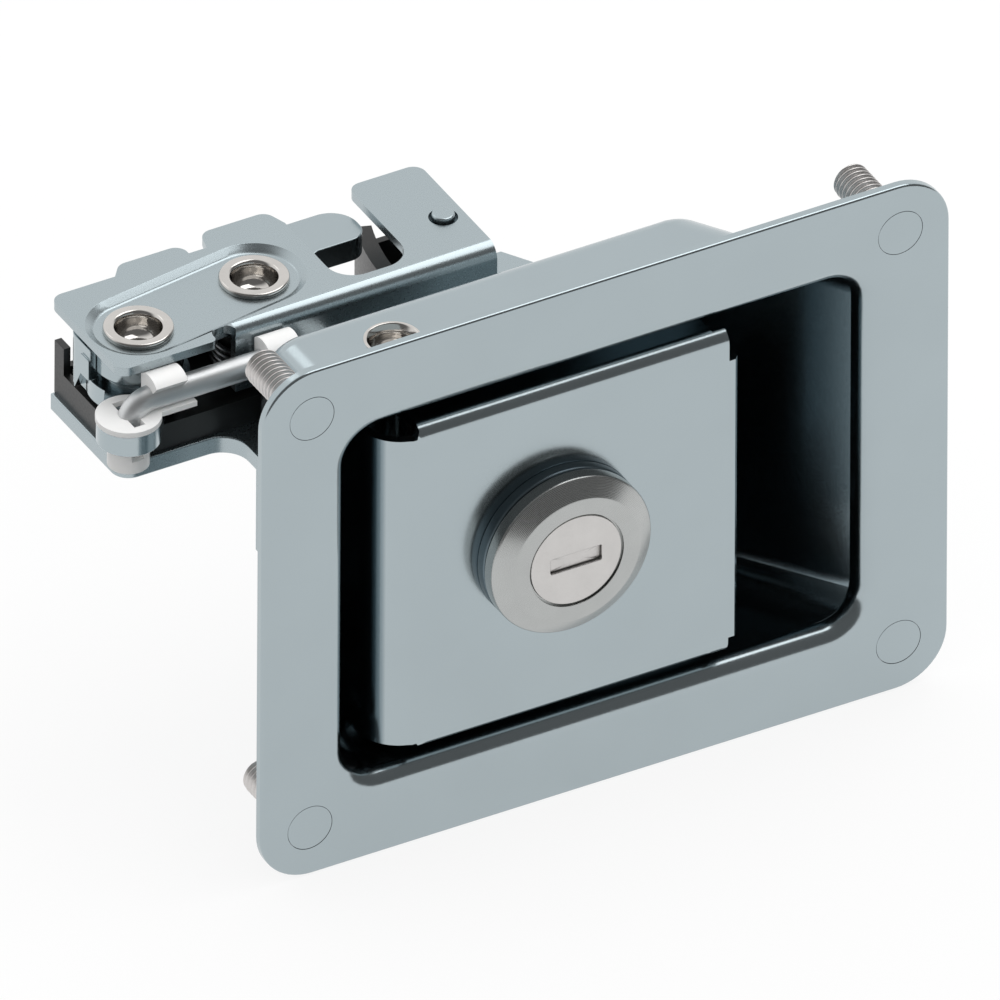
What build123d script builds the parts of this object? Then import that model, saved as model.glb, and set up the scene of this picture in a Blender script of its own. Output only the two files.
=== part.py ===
from build123d import *
from math import atan2, cos, degrees, hypot, radians, sin
import os

os.makedirs("parts", exist_ok=True)

# A flush paddle latch for a door or a lid, in millimetres. The dish sits in a cut-out of the door and its
# flange lies on the outside. The origin is the centre of the flange's rear face, +Y goes into the door,
# +X is to the right seen from outside and +Z is up. Pulling the paddle's right end turns the paddle on its
# upright pins. Its arm pulls a rod, the rod turns a trigger lever, and the lever's pawl frees a forked rotor
# that held the striker.

# The dish
SHEET = 1.5
FLANGE_WIDTH = 120.0
FLANGE_HEIGHT = 94.0
FLANGE_CORNER = 9.0
OPENING_WIDTH = 90.0
OPENING_HEIGHT = 65.0
PAN_DEPTH = 28.0
PAN_CORNER = 6.0
PAN_BACK_BEND = 2.5
LIP_BEND = 3.0
SLOPE_LEAD = 1.0
SLOPE_RUN = 15.0

# The studs
STUD_RADIUS = 3.0
STUD_HEAD_RADIUS = 3.9
STUD_LENGTH = 15.0
STUD_INSET_X = 8.6
STUD_INSET_Z = 8.7

# The paddle and its hinge
PADDLE_PROUD = 0.5
PADDLE_LEFT_GAP = 5.5
PADDLE_WIDTH = 62.6
PADDLE_EDGE_GAP = 2.35
PADDLE_SIDE_BEND = 7.0
PADDLE_SIDE_DEPTH = 17.0
PADDLE_SIDE_STEP = 2.0
PADDLE_FOLD_BEND = 2.2
PADDLE_FOLD_DEPTH = 7.0
PADDLE_END_DEPTH = 9.0
PADDLE_END_LOW = 3.15
PADDLE_END_HIGH = 5.35
PADDLE_END_SET = 1.8
PADDLE_TRAVEL = 18.0
LEVER_RATIO = 1.72
HINGE_FROM_WALL = 16.0
HINGE_DEPTH = 13.5
EAR_RADIUS = 7.0
PIN_RADIUS = 4.0
PIN_WALL = 0.5
PIN_PROUD = 2.5
PIN_FLARE = 0.6
PIN_ARM_GAP = 0.75
CUP_DEPTH = 4.0
CUP_ROUND = 1.4
WASHER_RADIUS = 6.5

# The cylinder lock
LOCK_X = -8.7
LOCK_Z = 1.5
BARREL_RADIUS = 9.5
BEZEL_RADIUS = 14.0
BEZEL_RIM = 2.2
BEZEL_CHAMFER_IN = 3.0
BEZEL_CHAMFER_OUT = 1.8
LOCK_WASHER_THICK = 2.0
GROOVE_DEPTH = 0.8
GROOVE_WIDTH = 0.3
PLUG_RADIUS = 7.9
PLUG_RECESS = 0.2
BARREL_LENGTH = 16.0
KEY_SLOT_WIDTH = 9.0
KEY_SLOT_HEIGHT = 2.75
KEY_SLOT_DEPTH = 1.4
NUT_ACROSS = 24.0
NUT_THICK = 4.0
CAM_SQUARE = 6.0
CAM_THICK = 2.0
CAM_REACH = 17.0
CAM_TIP = 4.0
CAM_HUB = 7.5
SCREW_RADIUS = 2.0
SCREW_HEAD_RADIUS = 3.6
SCREW_HEAD_THICK = 2.4
SCREW_DEPTH = 7.0
SCREW_SLOT = 0.9

# The plates of the latch block
BASE_TOP = 10.0
BASE_THICK = 3.0
BASE_TAB_HEIGHT = 18.0
BLOCK_LEFT = -63.8
BLOCK_FRONT = 36.3
BASE_BACK = 58.6
BASE_CORNER = 3.0
NECK_LEFT = -44.0
NECK_FILLET = 4.5
BASE_RIGHT_BACK = 14.9
BASE_RIGHT_FRONT = 27.0
BASE_SLANT_FRONT = 39.0
BLOCK_GAP = 16.1
PLATE = 1.5
TOP_FRONT = 36.8
TOP_BACK = 59.1
TOP_FLANGE_FRONT = 38.1
TOP_FLANGE_LEFT = -42.8
TOP_FLANGE_DROP = 11.8
TOP_FLANGE_SHALLOW = 6.4
TOP_BEND = 2.5
TOP_RIGHT = 2.9
TAB_BACK_1 = 61.6
TAB_BACK_2 = 63.0
TOP_CORNER = 2.1
TOP_FLANGE_STEP = 2.4
RELIEF_WIDTH = 3.9
RELIEF_DEPTH = 3.2
RELIEF_LIP = 0.9
TAB_1_LEFT = 27.7
TAB_1_RIGHT = 16.8
TAB_2_LEFT = 12.7
TAB_2_RIGHT = 1.3
TAB_LEAN_WIDE = 2.0
TAB_LEAN = 1.0
MOUTH_LEFT = -22.6
MOUTH_WIDTH = 12.9
MOUTH_BOTTOM = 41.5
RECESS_DEPTH = 1.0
RECESS_RADIUS = 7.8
RECESS_SLOPE = 42.0
RECESS_SOFT = 0.8

# Rivets and the spacer pin
RIVET_LEFT_X = -55.3
RIVET_LEFT_Y = 46.3
RIVET_RIGHT_X = -33.3
RIVET_RIGHT_Y = 49.5
RIVET_RADIUS = 4.5
RIVET_BORE = 3.5
RIVET_HEAD_RADIUS = 5.5
RIVET_HEAD = 0.9
SPACER_X = -0.6
SPACER_Y = 48.9
SPACER_RADIUS = 1.8
SPACER_SHOULDER = 3.0
SPACER_PROUD = 0.8
SPACER_HOLE_GAP = 0.5

# The moulded tray
TRAY_FLOOR = 2.0
TRAY_WALL = 1.2
TRAY_LOW = 4.8
TRAY_HIGH = 9.7
TRAY_SET = 0.7
TRAY_POST = 2.9
TRAY_BACK_LEFT = -50.0
BOSS_WALL = 1.1
GUIDE_BACK = 62.4
GUIDE_FLARE = 2.6
GUIDE_WALL = 2.6

# Rotor, pawl and trigger lever
ROTOR_THICK = 4.0
ROTOR_DROP = 0.2
ROTOR_HUB = 8.5
HOOK_FRONT = 53.6
HOOK_BACK = 62.0
HOOK_TIP = -10.9
HOOK_ROUND = 3.0
HOOK_BACK_ROUND = 4.6
FORK_GAP = 9.0
FINGER_TIP = -14.5
FINGER_WIDTH = 4.4
FINGER_RISE = 1.0
SLOT_END = -24.4
CATCH_RADIUS = 13.6
CATCH_ANGLE = 122.0
PAWL_HUB = 7.0
PAWL_NOSE = 5.2
LEVER_THICK = 3.6
LEVER_BOTTOM = 15.8
LEVER_HUB = 5.6
LEVER_DRUM = 8.0
LEVER_DRUM_LOW = 16.1
EYE_RADIUS = 5.0
SIDE_WALL_X = -62.65
SIDE_WALL_FRONT = 46.9
SIDE_WALL_STEP = 51.2
SIDE_WALL_BACK = 54.0
SIDE_WALL_BAND = 3.7
SIDE_WALL_PROUD = 0.3
SIDE_WALL_BEND = 2.6
SIDE_WALL_RETURN = 4.2

# The rod and its clips
ROD_RADIUS = 2.0
ROD_BEND = 4.0
ROD_HEIGHT = 22.2
ROD_LEFT_X = -63.1
ROD_RIGHT_X = -30.8
ROD_Y = 35.2
CLIP_DISC_RADIUS = 5.15
CLIP_DISC_THICK = 0.9
CLIP_STEM_RADIUS = 3.3
CLIP_STEM_LENGTH = 8.05
CLIP_FOOT_FAR = 10.9
CLIP_CLAMP_NEAR = 3.5
CLIP_CLAMP_FAR = 9.0
CLIP_CLAMP_WALL = 1.5
CLIP_CLAMP_RISE = 0.6
CLIP_CLAMP_BACK = 2.4
CLIP_SLOT_WIDTH = 1.9
CLIP_SLOT_REACH = 3.6
CLIP_SLOT_DEPTH = 1.6
CLIP_WINDOW = 2.2

# Springs
RETURN_WIRE = 0.6
RETURN_COIL = 5.0
RETURN_TURNS = 3
BLOCK_WIRE = 0.5
PAWL_TURNS = 2
ROTOR_TURNS = 4

# Clearances
RUNNING = 0.05
LOOSE = 0.3
OPEN_PIVOT = 0.55
SLOT_MARGIN = 0.8

# Places worked out from the sizes above
FRONT = -SHEET
PAN_BACK = PAN_DEPTH - SHEET
PAN_TOP = OPENING_HEIGHT / 2 + SHEET
COLLAR = LIP_BEND - SHEET + SLOPE_LEAD / 4
SLOPE_START = LIP_BEND - SHEET + SLOPE_LEAD
PADDLE_FRONT = FRONT - PADDLE_PROUD
PADDLE_LEFT = -OPENING_WIDTH / 2 + PADDLE_LEFT_GAP
PADDLE_RIGHT = PADDLE_LEFT + PADDLE_WIDTH
PADDLE_TOP = OPENING_HEIGHT / 2 - PADDLE_EDGE_GAP
HINGE_X = -OPENING_WIDTH / 2 + HINGE_FROM_WALL
STUD_X = FLANGE_WIDTH / 2 - STUD_INSET_X
STUD_Z = FLANGE_HEIGHT / 2 - STUD_INSET_Z
PLATE_LOW = BASE_TOP + BLOCK_GAP
PLATE_TOP = PLATE_LOW + PLATE
BASE_LOW = BASE_TOP - BASE_THICK
RECESS_FLOOR = PLATE_TOP - RECESS_DEPTH
MOUTH_RIGHT = MOUTH_LEFT + MOUTH_WIDTH
ROTOR_TOP = PLATE_LOW - RECESS_DEPTH - ROTOR_DROP
ROTOR_LOW = ROTOR_TOP - ROTOR_THICK
LEVER_TOP = LEVER_BOTTOM + LEVER_THICK


def tub(grow):
    """The dish's hollow, or with grow its outside: a wedge with a leaning right wall and round edges."""
    half = OPENING_WIDTH / 2
    inner_back = PAN_BACK - SHEET
    reach = PAN_DEPTH
    with BuildPart() as body:
        with BuildSketch():
            with BuildLine():
                Polyline(
                    (-half, -reach),
                    (half, -reach),
                    (half, SLOPE_START),
                    (half - SLOPE_RUN, inner_back),
                    (-half, inner_back),
                    close=True,
                )
            make_face()
            if grow:
                offset(amount=grow, kind=Kind.INTERSECTION)
        extrude(amount=OPENING_HEIGHT / 2 + grow, both=True)
        long_edges = body.edges().filter_by(Axis.Z, reverse=True).group_by(Axis.Z)
        sides = [e for e in long_edges[0] + long_edges[-1] if abs(e.tangent_at(0).Y) > 0.5]
        fillet(sides, radius=PAN_CORNER + grow)
        fillet(body.faces().sort_by(Axis.Y)[-1].edges(), radius=PAN_BACK_BEND + grow)
    return body.part


def spring_coil(mean_radius, wire, turns, low, center_x, center_y):
    """A close torsion spring: a round wire wound about an upright axis."""
    pitch = 2 * wire + 0.15
    path = Pos(center_x, center_y, low + wire) * Helix(pitch, pitch * turns, mean_radius)
    with BuildPart() as coil:
        with BuildSketch(Plane(origin=path @ 0, z_dir=path % 0)):
            Circle(wire)
        sweep(path=path)
    return coil.part


# The pan: one pressed sheet, flange and dish
hollow = tub(0)
outside = tub(SHEET)
arm_angle = radians(PADDLE_TRAVEL)
arm_at_wall = ROD_RIGHT_X - HINGE_X
arm_reach = PAN_BACK - HINGE_DEPTH
arm_swing_x = HINGE_X + arm_at_wall * cos(arm_angle) + arm_reach * sin(arm_angle)
slot_left = ROD_RIGHT_X - EYE_RADIUS - SLOT_MARGIN
slot_right = arm_swing_x + EYE_RADIUS / cos(arm_angle) + SLOT_MARGIN
behind_collar = Pos(0, COLLAR + PAN_BACK, 0) * Box(FLANGE_WIDTH, 2 * PAN_BACK, FLANGE_HEIGHT)
with BuildPart() as pan:
    with BuildSketch(Plane.XZ):
        RectangleRounded(FLANGE_WIDTH, FLANGE_HEIGHT, FLANGE_CORNER)
    extrude(amount=SHEET)
    with BuildSketch(Plane.XZ):
        RectangleRounded(OPENING_WIDTH + 2 * SHEET, OPENING_HEIGHT + 2 * SHEET, PAN_CORNER + SHEET)
    extrude(amount=-COLLAR)
    rear_edges = pan.edges().filter_by(lambda e: abs(e.center().Y) < SHEET / 10)
    inner_edges = rear_edges.filter_by(lambda e: abs(e.center().X) < OPENING_WIDTH / 2 + 2 * SHEET)
    crease = inner_edges.filter_by(lambda e: abs(e.center().Z) < OPENING_HEIGHT / 2 + 2 * SHEET)
    fillet(crease, radius=LIP_BEND - SHEET)
    with BuildSketch(Plane.XZ.offset(SHEET)):
        RectangleRounded(OPENING_WIDTH, OPENING_HEIGHT, PAN_CORNER)
    extrude(amount=-COLLAR - SHEET, mode=Mode.SUBTRACT)
    fillet(pan.faces().sort_by(Axis.Y)[0].inner_wires()[0].edges(), radius=LIP_BEND)
    add((outside - hollow) & behind_collar)
    with BuildSketch(Plane.XZ):
        with Locations(*[(sx * STUD_X, sz * STUD_Z) for sx in (-1, 1) for sz in (-1, 1)]):
            Circle(STUD_HEAD_RADIUS)
    extrude(amount=SHEET, mode=Mode.SUBTRACT)
    with BuildSketch(Plane.XY):
        with Locations((HINGE_X, HINGE_DEPTH)):
            Circle(PIN_RADIUS)
    extrude(amount=FLANGE_HEIGHT / 2, both=True, mode=Mode.SUBTRACT)
    with BuildSketch(Plane.XZ.offset(-PAN_BACK)):
        with Locations(((slot_left + slot_right) / 2, LEVER_BOTTOM + LEVER_THICK / 2)):
            RectangleRounded(slot_right - slot_left, LEVER_THICK + 2 * SLOT_MARGIN, SLOT_MARGIN)
    extrude(amount=2 * SHEET, both=True, mode=Mode.SUBTRACT)
pan.part.label = "pan"
export_step(pan.part, "parts/pan.step")

# Studs: flush head pressed into the flange, shank out of its rear face
with BuildPart() as mounting_studs:
    with BuildSketch(Plane.XZ.offset(SHEET)):
        with Locations(*[(sx * STUD_X, sz * STUD_Z) for sx in (-1, 1) for sz in (-1, 1)]):
            Circle(STUD_HEAD_RADIUS)
    extrude(amount=-SHEET)
    with BuildSketch(Plane.XZ):
        with Locations(*[(sx * STUD_X, sz * STUD_Z) for sx in (-1, 1) for sz in (-1, 1)]):
            Circle(STUD_RADIUS)
    extrude(amount=-STUD_LENGTH)
    chamfer(mounting_studs.edges().group_by(Axis.Y)[-1], length=STUD_RADIUS / 5)
mounting_studs.part.label = "mounting_studs"
export_step(mounting_studs.part, "parts/mounting_studs.step")

# The paddle: a folded sheet with a face, a deep left side, top and bottom folds with ears, and an end fold
middle = SHEET / 2
with BuildPart() as paddle:
    with BuildSketch(Plane.XY):
        with BuildLine() as face_line:
            FilletPolyline(
                (PADDLE_LEFT + middle, PADDLE_FRONT + PADDLE_SIDE_DEPTH),
                (PADDLE_LEFT + middle, PADDLE_FRONT + middle),
                (PADDLE_RIGHT - PADDLE_END_SET, PADDLE_FRONT + middle),
                radius=PADDLE_SIDE_BEND - middle,
            )
        trace(face_line.line, line_width=SHEET)
    extrude(amount=PADDLE_TOP, both=True)
    with BuildSketch(Plane.XY.offset(-PADDLE_TOP)):
        with Locations((PADDLE_LEFT, PADDLE_FRONT + PADDLE_SIDE_BEND)):
            Rectangle(SHEET, PADDLE_SIDE_DEPTH, align=(Align.MIN, Align.MIN))
    extrude(amount=PADDLE_SIDE_STEP, mode=Mode.SUBTRACT)
    with BuildSketch(Plane.XY.offset(-PADDLE_TOP + PADDLE_END_LOW)):
        with BuildLine() as end_line:
            FilletPolyline(
                (PADDLE_RIGHT - 2 * PADDLE_FOLD_BEND, PADDLE_FRONT + middle),
                (PADDLE_RIGHT - middle, PADDLE_FRONT + middle),
                (PADDLE_RIGHT - middle, PADDLE_FRONT + PADDLE_END_DEPTH),
                radius=PADDLE_FOLD_BEND - middle,
            )
        trace(end_line.line, line_width=SHEET)
    extrude(amount=2 * PADDLE_TOP - PADDLE_END_LOW - PADDLE_END_HIGH)
    fold_start = PADDLE_LEFT + PADDLE_SIDE_BEND
    fold_length = PADDLE_RIGHT - PADDLE_END_SET - PADDLE_FOLD_BEND - fold_start
    for side in (-1, 1):
        with BuildSketch(Plane.YZ.offset(fold_start)):
            with BuildLine() as fold_line:
                FilletPolyline(
                    (PADDLE_FRONT + middle, side * (PADDLE_TOP - 2 * PADDLE_FOLD_BEND)),
                    (PADDLE_FRONT + middle, side * (PADDLE_TOP - middle)),
                    (PADDLE_FRONT + PADDLE_FOLD_DEPTH, side * (PADDLE_TOP - middle)),
                    radius=PADDLE_FOLD_BEND - middle,
                )
            trace(fold_line.line, line_width=SHEET)
        extrude(amount=fold_length)
        with BuildSketch(Plane.YZ.offset(fold_start)):
            with Locations((PADDLE_FRONT, side * PADDLE_TOP)):
                Rectangle(2 * middle / 3, 2 * middle / 3, align=(Align.CENTER, Align.CENTER))
        extrude(amount=fold_length, mode=Mode.SUBTRACT)
        with BuildSketch(Plane.XY.offset(min(side * PADDLE_TOP, side * (PADDLE_TOP - SHEET)))):
            with BuildLine():
                ear_front = PADDLE_FRONT + PADDLE_FOLD_DEPTH - SHEET
                Polyline(
                    (fold_start, ear_front),
                    (HINGE_X - EAR_RADIUS, HINGE_DEPTH),
                    (HINGE_X + EAR_RADIUS, HINGE_DEPTH),
                    (HINGE_X + 2 * EAR_RADIUS, ear_front),
                    close=True,
                )
            make_face()
            with Locations((HINGE_X, HINGE_DEPTH)):
                Circle(EAR_RADIUS)
                Circle(PIN_RADIUS + RUNNING, mode=Mode.SUBTRACT)
        extrude(amount=SHEET)
    with BuildSketch(Plane.XZ.offset(-PADDLE_FRONT - SHEET)):
        with Locations((LOCK_X, LOCK_Z)):
            Circle(BARREL_RADIUS)
    extrude(amount=2 * SHEET, mode=Mode.SUBTRACT)
paddle.part.label = "paddle"
export_step(paddle.part, "parts/paddle.step")

# The arm: welded to the paddle's side, through the pan's slot, to an eye that is wider than the clip's stem
with BuildPart() as paddle_arm:
    with BuildSketch(Plane.XY.offset(LEVER_BOTTOM)):
        with BuildLine():
            arm_left = PADDLE_LEFT + SHEET
            arm_front = PADDLE_FRONT + PADDLE_SIDE_BEND + LOOSE
            Polyline(
                (arm_left, arm_front),
                (arm_left, PADDLE_FRONT + PADDLE_SIDE_DEPTH),
                (ROD_RIGHT_X - EYE_RADIUS, PAN_BACK - EYE_RADIUS),
                (ROD_RIGHT_X - EYE_RADIUS, ROD_Y),
                (ROD_RIGHT_X + EYE_RADIUS, ROD_Y),
                (ROD_RIGHT_X + EYE_RADIUS, HINGE_DEPTH),
                (arm_left + EYE_RADIUS, arm_front),
                close=True,
            )
        make_face()
        with Locations((ROD_RIGHT_X, ROD_Y)):
            Circle(EYE_RADIUS)
            eye_slot = CLIP_STEM_RADIUS + LOOSE
            SlotCenterToCenter(2 * OPEN_PIVOT, 2 * eye_slot + OPEN_PIVOT, rotation=90, mode=Mode.SUBTRACT)
    extrude(amount=LEVER_THICK)
paddle_arm.part.label = "paddle_arm"
export_step(paddle_arm.part, "parts/paddle_arm.step")

# Hinge pins and washers, one above and one below
for side, place in ((1, "top"), (-1, "bottom")):
    outer_end = PAN_TOP + PIN_PROUD
    inner_end = LEVER_TOP + PIN_ARM_GAP
    with BuildPart() as hinge_pin:
        with BuildSketch(Plane.XZ):
            with BuildLine():
                Polyline(
                    (0, side * inner_end),
                    (PIN_RADIUS, side * inner_end),
                    (PIN_RADIUS, side * (outer_end - 2 * PIN_FLARE)),
                    (PIN_RADIUS + PIN_FLARE, side * (outer_end - PIN_FLARE / 2)),
                    (PIN_RADIUS + PIN_FLARE, side * outer_end),
                    (PIN_RADIUS - PIN_WALL + PIN_FLARE, side * outer_end),
                    (PIN_RADIUS - PIN_WALL, side * (outer_end - 2 * PIN_FLARE)),
                    (PIN_RADIUS - PIN_WALL, side * (outer_end - CUP_DEPTH)),
                    (0, side * (outer_end - CUP_DEPTH)),
                    close=True,
                )
            make_face()
        revolve(axis=Axis.Z)
        cup_floor = hinge_pin.faces().filter_by(lambda f: abs(abs(f.center().Z) - outer_end + CUP_DEPTH) < RUNNING)
        fillet(cup_floor.edges(), radius=CUP_ROUND)
    pin = Pos(HINGE_X, HINGE_DEPTH, 0) * hinge_pin.part
    pin.label = "hinge_pin_" + place
    export_step(pin, "parts/hinge_pin_" + place + ".step")
    washer_thick = PADDLE_EDGE_GAP - LOOSE
    washer_low = OPENING_HEIGHT / 2 - washer_thick if side > 0 else -OPENING_HEIGHT / 2
    with BuildPart() as hinge_washer:
        with BuildSketch(Plane.XY.offset(washer_low)):
            with Locations((HINGE_X, HINGE_DEPTH)):
                Circle(WASHER_RADIUS)
                Circle(PIN_RADIUS, mode=Mode.SUBTRACT)
        extrude(amount=washer_thick)
    hinge_washer.part.label = "hinge_washer_" + place
    export_step(hinge_washer.part, "parts/hinge_washer_" + place + ".step")

# Return spring, wound round the lower pin on the paddle's lower ear
return_low = -PADDLE_TOP + SHEET + LOOSE / 2
return_spring = spring_coil(RETURN_COIL, RETURN_WIRE, RETURN_TURNS, return_low, HINGE_X, HINGE_DEPTH)
return_spring.label = "return_spring"
export_step(return_spring, "parts/return_spring.step")

# The lock: turned parts about an axis that points at the user
lock_plane = Plane(origin=(LOCK_X, PADDLE_FRONT, LOCK_Z), x_dir=(1, 0, 0), z_dir=(0, -1, 0))
lock_face = LOCK_WASHER_THICK + GROOVE_WIDTH + BEZEL_RIM + BEZEL_CHAMFER_OUT
plug_face = lock_face - PLUG_RECESS
barrel_back = -BARREL_LENGTH
with BuildPart() as lock_washer:
    with BuildSketch(lock_plane):
        Circle(BEZEL_RADIUS)
        Circle(BARREL_RADIUS, mode=Mode.SUBTRACT)
    extrude(amount=LOCK_WASHER_THICK)
    fillet(lock_washer.faces().sort_by(Axis.Y)[0].outer_wire().edges(), radius=LOCK_WASHER_THICK / 5)
lock_washer.part.label = "lock_washer"
export_step(lock_washer.part, "parts/lock_washer.step")

with BuildPart() as lock_housing:
    with BuildSketch(lock_plane.offset(barrel_back)):
        Circle(BARREL_RADIUS)
    extrude(amount=LOCK_WASHER_THICK - barrel_back)
    with BuildSketch(lock_plane.offset(LOCK_WASHER_THICK)):
        Circle(BEZEL_RADIUS - GROOVE_DEPTH)
    extrude(amount=GROOVE_WIDTH)
    with BuildSketch(lock_plane.offset(LOCK_WASHER_THICK + GROOVE_WIDTH)):
        Circle(BEZEL_RADIUS)
    extrude(amount=BEZEL_RIM)
    with BuildSketch(lock_plane.offset(LOCK_WASHER_THICK + GROOVE_WIDTH + BEZEL_RIM)):
        Circle(BEZEL_RADIUS)
    with BuildSketch(lock_plane.offset(lock_face)):
        Circle(BEZEL_RADIUS - BEZEL_CHAMFER_IN)
    loft()
    with BuildSketch(lock_plane.offset(lock_face)):
        Circle(PLUG_RADIUS + RUNNING)
    extrude(amount=barrel_back - lock_face, mode=Mode.SUBTRACT)
    with BuildSketch(lock_plane.offset(lock_face)):
        Circle(PLUG_RADIUS + LOOSE)
    extrude(amount=-2 * LOOSE, mode=Mode.SUBTRACT)
lock_housing.part.label = "lock_housing"
export_step(lock_housing.part, "parts/lock_housing.step")

with BuildPart() as lock_nut:
    with BuildSketch(lock_plane.offset(-SHEET)):
        RegularPolygon(NUT_ACROSS / 2, 6, major_radius=False)
        Circle(BARREL_RADIUS, mode=Mode.SUBTRACT)
    extrude(amount=-NUT_THICK)
lock_nut.part.label = "lock_nut"
export_step(lock_nut.part, "parts/lock_nut.step")

cam_front = barrel_back - LOOSE
with BuildPart() as lock_plug:
    with BuildSketch(lock_plane.offset(cam_front)):
        Circle(PLUG_RADIUS)
    extrude(amount=plug_face - cam_front)
    with BuildSketch(lock_plane.offset(cam_front)):
        Rectangle(CAM_SQUARE, CAM_SQUARE)
    extrude(amount=-CAM_THICK)
    with BuildSketch(lock_plane.offset(plug_face)):
        RectangleRounded(KEY_SLOT_WIDTH, KEY_SLOT_HEIGHT, KEY_SLOT_HEIGHT / 8)
    extrude(amount=-KEY_SLOT_DEPTH, mode=Mode.SUBTRACT)
    with BuildSketch(lock_plane.offset(cam_front - CAM_THICK)):
        Circle(SCREW_RADIUS)
    extrude(amount=SCREW_DEPTH, mode=Mode.SUBTRACT)
lock_plug.part.label = "lock_plug"
export_step(lock_plug.part, "parts/lock_plug.step")

with BuildPart() as lock_cam:
    with BuildSketch(lock_plane.offset(cam_front)):
        with Locations((0, -CAM_REACH / 2)):
            Rectangle(2 * CAM_TIP, CAM_REACH)
        Circle(CAM_HUB)
        with Locations((0, -CAM_REACH)):
            Circle(CAM_TIP)
        Rectangle(CAM_SQUARE, CAM_SQUARE, mode=Mode.SUBTRACT)
    extrude(amount=-CAM_THICK)
lock_cam.part.label = "lock_cam"
export_step(lock_cam.part, "parts/lock_cam.step")

with BuildPart() as cam_screw:
    with BuildSketch(lock_plane.offset(cam_front - CAM_THICK)):
        Circle(SCREW_RADIUS)
    extrude(amount=SCREW_DEPTH - SCREW_SLOT)
    with BuildSketch(lock_plane.offset(cam_front - CAM_THICK)):
        Circle(SCREW_HEAD_RADIUS + RUNNING)
    extrude(amount=-SCREW_HEAD_THICK)
    with BuildSketch(lock_plane.offset(cam_front - CAM_THICK - SCREW_HEAD_THICK)):
        Rectangle(2 * SCREW_HEAD_RADIUS, SCREW_SLOT)
        Rectangle(SCREW_SLOT, 2 * SCREW_HEAD_RADIUS)
    extrude(amount=SCREW_HEAD_THICK / 2, mode=Mode.SUBTRACT)
cam_screw.part.label = "cam_screw"
export_step(cam_screw.part, "parts/cam_screw.step")


def block_locations():
    """The two pivots of the latch block."""
    return Locations((RIVET_LEFT_X, RIVET_LEFT_Y), (RIVET_RIGHT_X, RIVET_RIGHT_Y))


def mouth(grow, back):
    """The striker's slot with a round bottom, open at the back, as a face to cut with."""
    half = MOUTH_WIDTH / 2 + grow
    center = (MOUTH_LEFT + MOUTH_RIGHT) / 2
    low = MOUTH_BOTTOM - grow
    with BuildSketch() as slot:
        with Locations((center, low)):
            Rectangle(2 * half, back - low, align=(Align.CENTER, Align.MIN))
        fillet(slot.vertices().group_by(Axis.Y)[0], radius=0.7 * half)
    return slot.sketch


def raised(face, low, height):
    """A flat face drawn at Z 0, made a solid of the given height from the given level."""
    return Pos(0, 0, low) * extrude(face, amount=height, mode=Mode.PRIVATE)


# Base plate with its neck and the tab that is welded to the back of the pan
with BuildPart() as base_plate:
    with BuildSketch(Plane.XY.offset(BASE_LOW)):
        with BuildLine():
            Polyline(
                (BLOCK_LEFT, BLOCK_FRONT),
                (NECK_LEFT, BLOCK_FRONT),
                (NECK_LEFT, PAN_BACK),
                (BASE_RIGHT_FRONT, PAN_BACK),
                (BASE_RIGHT_FRONT, BASE_SLANT_FRONT),
                (BASE_RIGHT_BACK, BASE_BACK),
                (BLOCK_LEFT, BASE_BACK),
                close=True,
            )
        make_face()
    extrude(amount=BASE_THICK)
    upright = base_plate.edges().filter_by(Axis.Z)
    left_upright = upright.filter_by(lambda e: e.center().X < BLOCK_LEFT + 1)
    inner_corner = [e for e in upright if abs(e.center().X - NECK_LEFT) < 1 and e.center().Y > PAN_BACK + 1]
    fillet(left_upright.sort_by(Axis.Y)[0], radius=BASE_CORNER)
    fillet(inner_corner, radius=NECK_FILLET)
    with BuildSketch(Plane.XZ.offset(-PAN_BACK)):
        tab_low = BASE_TOP - BASE_TAB_HEIGHT
        with Locations(((NECK_LEFT + BASE_RIGHT_FRONT) / 2, tab_low)):
            Rectangle(BASE_RIGHT_FRONT - NECK_LEFT, BASE_TAB_HEIGHT, align=(Align.CENTER, Align.MIN))
    extrude(amount=-BASE_THICK)
    add(raised(mouth(LOOSE, BASE_BACK + BASE_THICK), BASE_LOW, BASE_THICK), mode=Mode.SUBTRACT)
    with BuildSketch(Plane.XY.offset(BASE_LOW)):
        with block_locations():
            Circle(RIVET_RADIUS)
        with Locations((SPACER_X, SPACER_Y)):
            Circle(SPACER_RADIUS)
    extrude(amount=BASE_THICK, mode=Mode.SUBTRACT)
base_plate.part.label = "base_plate"
export_step(base_plate.part, "parts/base_plate.step")

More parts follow.
